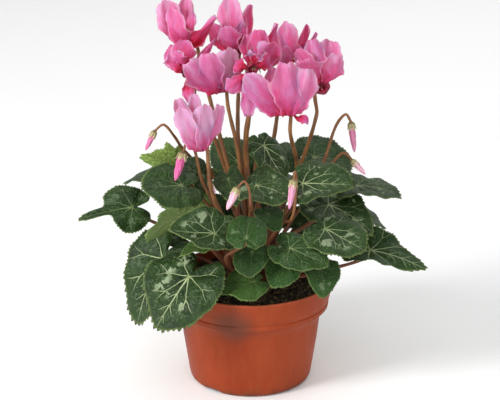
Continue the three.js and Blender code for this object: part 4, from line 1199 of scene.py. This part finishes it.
def soil_finish():
    finish = Finish("soil")
    place = finish.place()
    lumps = cloudy(place, 260.0, 5.0, 0.7)
    bits = cloudy(shift(place, (0.3, 0.1, 0.2)), 520.0, 3.0)
    soil = coated(
        (0.006, 0.004, 0.003),
        (soft(lumps, 0.3, 0.75), (0.055, 0.036, 0.022)),
        (soft(bits, 0.62, 0.7) * 0.6, (0.120, 0.080, 0.040)),
    )
    return finish.done(soil, 0.9, lumps, 0.002, 0.9)


def crumb_finish():
    finish = Finish("soil_crumbs")
    place = finish.place()
    each = cloudy(place, 330.0, 1.0)
    crumb = coated(
        (0.007, 0.005, 0.004),
        (soft(each, 0.35, 0.55), (0.060, 0.038, 0.022)),
        (soft(each, 0.55, 0.64), (0.180, 0.120, 0.060)),
    )
    return finish.done(crumb, 0.9, cloudy(place, 1600.0, 3.0), 0.0006, 0.8)


def fibre_finish():
    finish = Finish("soil_fibres")
    place = finish.place()
    fine = cloudy(place, 2000.0, 2.0)
    fibre = blend(soft(cloudy(place, 200.0, 1.0), 0.4, 0.6), (0.150, 0.085, 0.030), (0.330, 0.220, 0.090))
    return finish.done(fibre, 0.75 + fine * 0.15, fine, 0.0003, 0.5)


def floor_finish():
    finish = Finish("floor_pale")
    pale = blend(cloudy(finish.place(), 2.0, 2.0), (0.93, 0.93, 0.93), (0.95, 0.95, 0.95))
    return finish.done(pale, 0.8)


# Pot and soil
def pot_profile():
    """Radius and height pairs of the pot's wall, outside up and inside down, with blunted corners."""
    corners = [
        (40.5, 0, 0), (44.6, 1.2, 2.5), (POT_FOOT_RADIUS, 5, 2), (50.4, 35, 0), (52.2, 51, 2),
        (54.2, 54.6, 1), (56.8, 57.6, 0.4), (58.25, 58.2, 0.3), (58.6, 61.4, 0.3), (57.9, 62.1, 0.3),
        (59.6, 66, 2), (60.5, 73, 1), (POT_RIM_RADIUS, POT_HEIGHT - 0.5, 0.3),
        (POT_RIM_RADIUS - 0.5, POT_HEIGHT, 0.25), (POT_RIM_RADIUS - 1.4, POT_HEIGHT, 0.25),
        (58.9, 73, 1), (56.3, 61, 1), (50.8, 51, 2), (49, 35, 0), (44.4, 6, 1.5), (43.3, POT_FLOOR, 0),
    ]
    profile = []
    for i, (radius, height, blunt) in enumerate(corners):
        here = np.array((radius, height), float)
        if blunt == 0:
            profile.append(here)
            continue
        cuts = []
        for neighbour in (corners[i - 1], corners[i + 1]):
            way = np.array(neighbour[:2], float) - here
            cuts.append(here + unit(way) * min(blunt, np.linalg.norm(way) * 0.45))
        for t in (0, 0.33, 0.67, 1):
            s = 1 - t
            profile.append(cuts[0] * s * s + here * 2 * s * t + cuts[1] * t * t)
    return profile


def notch_rings(azimuth):
    """A rounded bar that cuts one drain notch through the wall of the foot."""
    turn = math.radians(azimuth)
    rings = []
    for y in NOTCH_ENDS:
        ring = []
        for angle in [2 * math.pi * k / 24 for k in range(24)]:
            x = 0.5 * NOTCH_WIDTH * np.sign(math.cos(angle)) * abs(math.cos(angle)) ** 0.5
            z = NOTCH_HEIGHT * np.sign(math.sin(angle)) * abs(math.sin(angle)) ** 0.5
            ring.append((x * math.cos(turn) - y * math.sin(turn), x * math.sin(turn) + y * math.cos(turn), z))
        rings.append(ring)
    return rings


def pot_mesh(finish):
    """The lathe-turned pot with its stepped flare, rolled rim, rounded foot and drain notches."""
    profile = pot_profile()
    rings = turned_rings((0, 0, 0), np.array((0, 0, 1.0)), profile, 144)
    shell = rings_mesh("pot_shell", rings, [p[1] / POT_HEIGHT for p in profile], finish)
    carrier = linked("pot_carrier", shell)
    cutters = []
    for azimuth in NOTCH_AZIMUTHS:
        cutters.append(linked("notch", rings_mesh("notch", notch_rings(azimuth), (0, 1), finish)))
        cut = carrier.modifiers.new("notch", "BOOLEAN")
        cut.operation = "DIFFERENCE"
        cut.solver = "EXACT"
        cut.object = cutters[-1]
    whole = settled(carrier, "pot_shell_whole")
    for cutter in cutters:
        bpy.data.objects.remove(cutter)
    return whole


def soil_height(x, y):
    rough = noise.noise(Vector((x * 0.11, y * 0.11, 1.7))) * 1.1
    rough = rough + noise.noise(Vector((x * 0.35, y * 0.35, 5.0))) * 0.7
    sunk = -1.2 * float(smooth_step(50, 58, math.hypot(x, y)))
    return SOIL_LEVEL + 1.0 + rough + sunk


def soil_mesh(finish):
    """The filling of the pot, closed all round, with a rough top."""
    top = [(radius, None) for radius in np.linspace(0, SOIL_RADIUS, 40)[:0:-1]]
    rings = []
    for radius, level in SOIL_SIDE + top:
        ring = [(radius * math.cos(a), radius * math.sin(a)) for a in np.arange(120) * 2 * np.pi / 120]
        rings.append([(x, y, soil_height(x, y) if level is None else level) for x, y in ring])
    return rings_mesh("soil_fill", rings, [0.0] * len(SOIL_SIDE) + [1.0] * len(top), finish)


def crumb_shape(name, size, seed, finish):
    """A lumpy grain of twenty faces."""
    rough = random.Random(seed)
    golden = (1 + 5**0.5) / 2
    pairs = [(a, b) for b in (golden, -golden) for a in (-1, 1)]
    corners = [(a, b, 0) for a, b in pairs] + [(0, a, b) for a, b in pairs] + [(b, 0, a) for a, b in pairs]
    faces = [(0, 11, 5), (0, 5, 1), (0, 1, 7), (0, 7, 10), (0, 10, 11), (1, 5, 9), (5, 11, 4), (11, 10, 2)]
    faces += [(10, 7, 6), (7, 1, 8), (3, 9, 4), (3, 4, 2), (3, 2, 6), (3, 6, 8), (3, 8, 9), (4, 9, 5)]
    faces += [(2, 4, 11), (6, 2, 10), (8, 6, 7), (9, 8, 1)]
    points = []
    for x, y, z in corners:
        swell = size * rough.uniform(0.35, 0.65) * MM
        points.append((x * swell, y * swell * 0.8, z * swell * 0.6))
    return plain_mesh(name, points, faces, finish)


def fibre_shape(name, length, seed, finish):
    """A bent splinter with a three-sided section."""
    rough = random.Random(seed)
    steps = 5
    points = []
    for t in [i / (steps - 1) for i in range(steps)]:
        x = (t - 0.5) * length
        y = math.sin(t * 3 + rough.uniform(0, 1)) * length * 0.12
        z = math.sin(t * math.pi) * length * rough.uniform(0.02, 0.12)
        thick = length * 0.035 * (1 - 0.5 * abs(t - 0.5) * 2)
        for angle in [2 * math.pi * k / 3 for k in range(3)]:
            points.append((x * MM, (y + thick * math.cos(angle)) * MM, (z + thick * math.sin(angle)) * MM))
    last = (steps - 1) * 3
    faces = [(row + a, row + b, row + b + 3, row + a + 3) for row in range(0, last, 3) for a, b in around(3)]
    return plain_mesh(name, points, faces + [(2, 1, 0), (last, last + 1, last + 2)], finish)


def litter_mesh(ground, name, meshes, finish, **values):
    """A scatter of the meshes over the ground, as one plain mesh."""
    shapes = bpy.data.collections.new(name + "_shapes")
    stock = [bpy.data.objects.new(mesh.name, mesh) for mesh in meshes]
    for spare in stock:
        shapes.objects.link(spare)
    mesh = scatter_tree(shapes).grown(ground, name, {**values, "Finish": finish})
    for spare in stock:
        bpy.data.objects.remove(spare)
    bpy.data.collections.remove(shapes)
    return mesh


def tuber_mesh(finish):
    """The corky tuber: a flattened ball with lumps and a sunken crown."""
    lifts = np.linspace(-1.5, 1.5, 34)
    half = np.array([TUBER_RADIUS, TUBER_RADIUS, TUBER_HALF_HEIGHT])
    rings = []
    for lift in lifts:
        ring = []
        for turn in np.arange(64) * 2 * np.pi / 64:
            flat = math.cos(lift)
            direction = np.array((flat * math.cos(turn), flat * math.sin(turn), math.sin(lift)))
            lump = noise.noise(Vector(direction * 3.0)) * 0.05 + noise.noise(Vector(direction * 9.0)) * 0.025
            swell = 0.985 + lump - 0.05 * max(0, direction[2]) ** 6
            ring.append(direction * half * swell + np.array((0, 0, TUBER_CENTRE)))
        rings.append(ring)
    return rings_mesh("tuber_cork", rings, lifts / 3 + 0.5, finish)


# Pieces
pot_plastic = pot_finish()
leaf_sides = [leaf_finish(False), leaf_finish(True)]
bloom_parts = [petal_finish(), throat_finish(), pistil_finish()]
bud_pink = bud_finish()
stalk_brown = stalk_finish()
crumb_dark = crumb_finish()
fibre_gold = fibre_finish()

piece_of(pot_mesh(pot_plastic), ["pot"])

ground = soil_mesh(soil_finish())
crumbs = [crumb_shape("crumb_%d" % i, CRUMB_SIZE, i, crumb_dark) for i in range(4)]
fibres = [fibre_shape("fibre_%d" % i, FIBRE_LENGTH, i, fibre_gold) for i in range(4)]
lay = dict(Density=380000, Smallest=0.5, Largest=2.0, Lean=3.1, Seed=4)
crumb_litter = litter_mesh(ground.copy(), "soil_crumb_litter", crumbs, crumb_dark, **lay)
lay = dict(Density=45000, Smallest=0.3, Largest=1.0, Lean=0.35, Seed=9)
fibre_litter = litter_mesh(ground.copy(), "soil_fibre_litter", fibres, fibre_gold, **lay)
for mesh in (ground, crumb_litter, fibre_litter):
    piece_of(mesh, ["soil"])

piece_of(tuber_mesh(tuber_finish()), ["tuber_with_stalks"])
sweep = sweep_tree()
leaf_stalks = []
for order, leaf in enumerate(LEAVES + YOUNG_LEAVES):
    leaf_stalks.append((*leaf_stalk(leaf, order), 0.7 if order % 3 else 0.3))
bloom_stalks = [(*flower_stalk(flower, order), 0.1) for order, flower in enumerate(FLOWERS)]
bloom_stalks += [(*bud_stalk(bud, order), 0.35) for order, bud in enumerate(BUDS)]
for name, stalks, sides in (("leaf_stalks", leaf_stalks, 9), ("bloom_stalks", bloom_stalks, 12)):
    mesh = sweep.grown(stalk_lines(stalks, name + "_lines"), name, {"Sides": sides, "Finish": stalk_brown})
    piece_of(mesh, ["tuber_with_stalks"])

calyxes = Body()
for number, flower in enumerate(FLOWERS):
    mouth, up, _ = flower_axes(flower)
    cap = [(4.3, 6.2), (4.4, 6.9), (3.6, 8.6), (2.3, 9.7), (1.1, 10.4), (0.8, 11)]
    add_rings(calyxes, turned_rings(mouth, up, cap, 20), (0.3, 0.25, 0.2, 0.1, 0, 0), (0.2, 0, 0))
    snug = flower.calyx
    rows = [(1.3, 10.2), (3.5, 9.2), (4.9 * snug, 7.4), (5.5 * snug, 5.4), (5.5 * snug, 4.2 - snug)]
    sepals(calyxes, mouth, up, rows, 2.1 * snug, number, 0.2)
for number, bud in enumerate(BUDS):
    joint, down, _ = bud_axes(bud)
    r = bud.radius
    knob = [(0.6, -0.8), (r * 0.72, 0.2), (r * 1.04, 1.6), (r * 1.1, 2.8), (r * 0.9, 3.6)]
    add_rings(calyxes, turned_rings(joint, down, knob, 20), (0, 0.1, 0.25, 0.4, 0.5), (0.3, 0, 0))
    rows = [(r * 0.6, 0.0), (r * 1.08, 1.4), (r * 1.18, 3.0), (r * 1.22, 4.6), (r * 1.5, 6.3)]
    sepals(calyxes, joint, down, rows, r * 0.62, number, 0.1)
piece_of(calyxes.mesh("calyxes", [sepal_finish()]), ["tuber_with_stalks"])

for order, leaf in enumerate(LEAVES):
    blade = Body()
    add_leaf(blade, leaf, order)
    piece_of(blade.mesh("blade_" + leaf.name, leaf_sides), ["leaf_" + leaf.name])
young = Body()
for order, leaf in enumerate(YOUNG_LEAVES):
    add_leaf(young, leaf, 50 + order)
piece_of(young.mesh("young_leaves", leaf_sides), ["tuber_with_stalks"])
for flower in FLOWERS:
    piece_of(flower_mesh(flower, bloom_parts), ["flower_" + flower.name])
for number, bud in enumerate(BUDS):
    piece_of(bud_mesh(bud, number, bud_pink), ["bud_" + bud.name])

# Floor, light and camera
corners = [(x * FLOOR_HALF, y * FLOOR_HALF, 0) for x, y in ((-1, -1), (1, -1), (1, 1), (-1, 1))]
linked("floor", plain_mesh("floor", corners, [(0, 1, 2, 3)], floor_finish()))

for name, place, aim, size, power in (
    ("key", (-1.15, -0.85, 1.08), (-0.02, -0.03, 0.12), 0.52, 23),
    ("fill", (0.2, -1.6, 1.2), (0, 0, 0.12), 1.3, 9),
    ("back", (0.6, 1.2, 1.3), (0, 0, 0.2), 1.0, 6),
):
    light = bpy.data.lights.new(name, "AREA")
    light.size = size
    light.energy = power
    lamp = linked(name, light)
    lamp.location = place
    lamp.rotation_euler = (Vector(aim) - Vector(place)).to_track_quat("-Z", "Y").to_euler()

world = bpy.data.worlds.new("studio")
world.use_nodes = True
world.node_tree.nodes["Background"].inputs["Color"].default_value = (1, 1, 1, 1)
world.node_tree.nodes["Background"].inputs["Strength"].default_value = WORLD_STRENGTH
bpy.context.scene.world = world
bpy.context.scene.view_settings.view_transform = "Standard"

view = bpy.data.cameras.new("camera")
view.lens = CAMERA_LENS
view.sensor_width = 36
view.shift_x = CAMERA_SHIFT
camera = linked("camera", view)
camera.location = CAMERA_PLACE
camera.rotation_euler = (math.radians(90 - CAMERA_PITCH), 0, 0)
bpy.context.scene.camera = camera
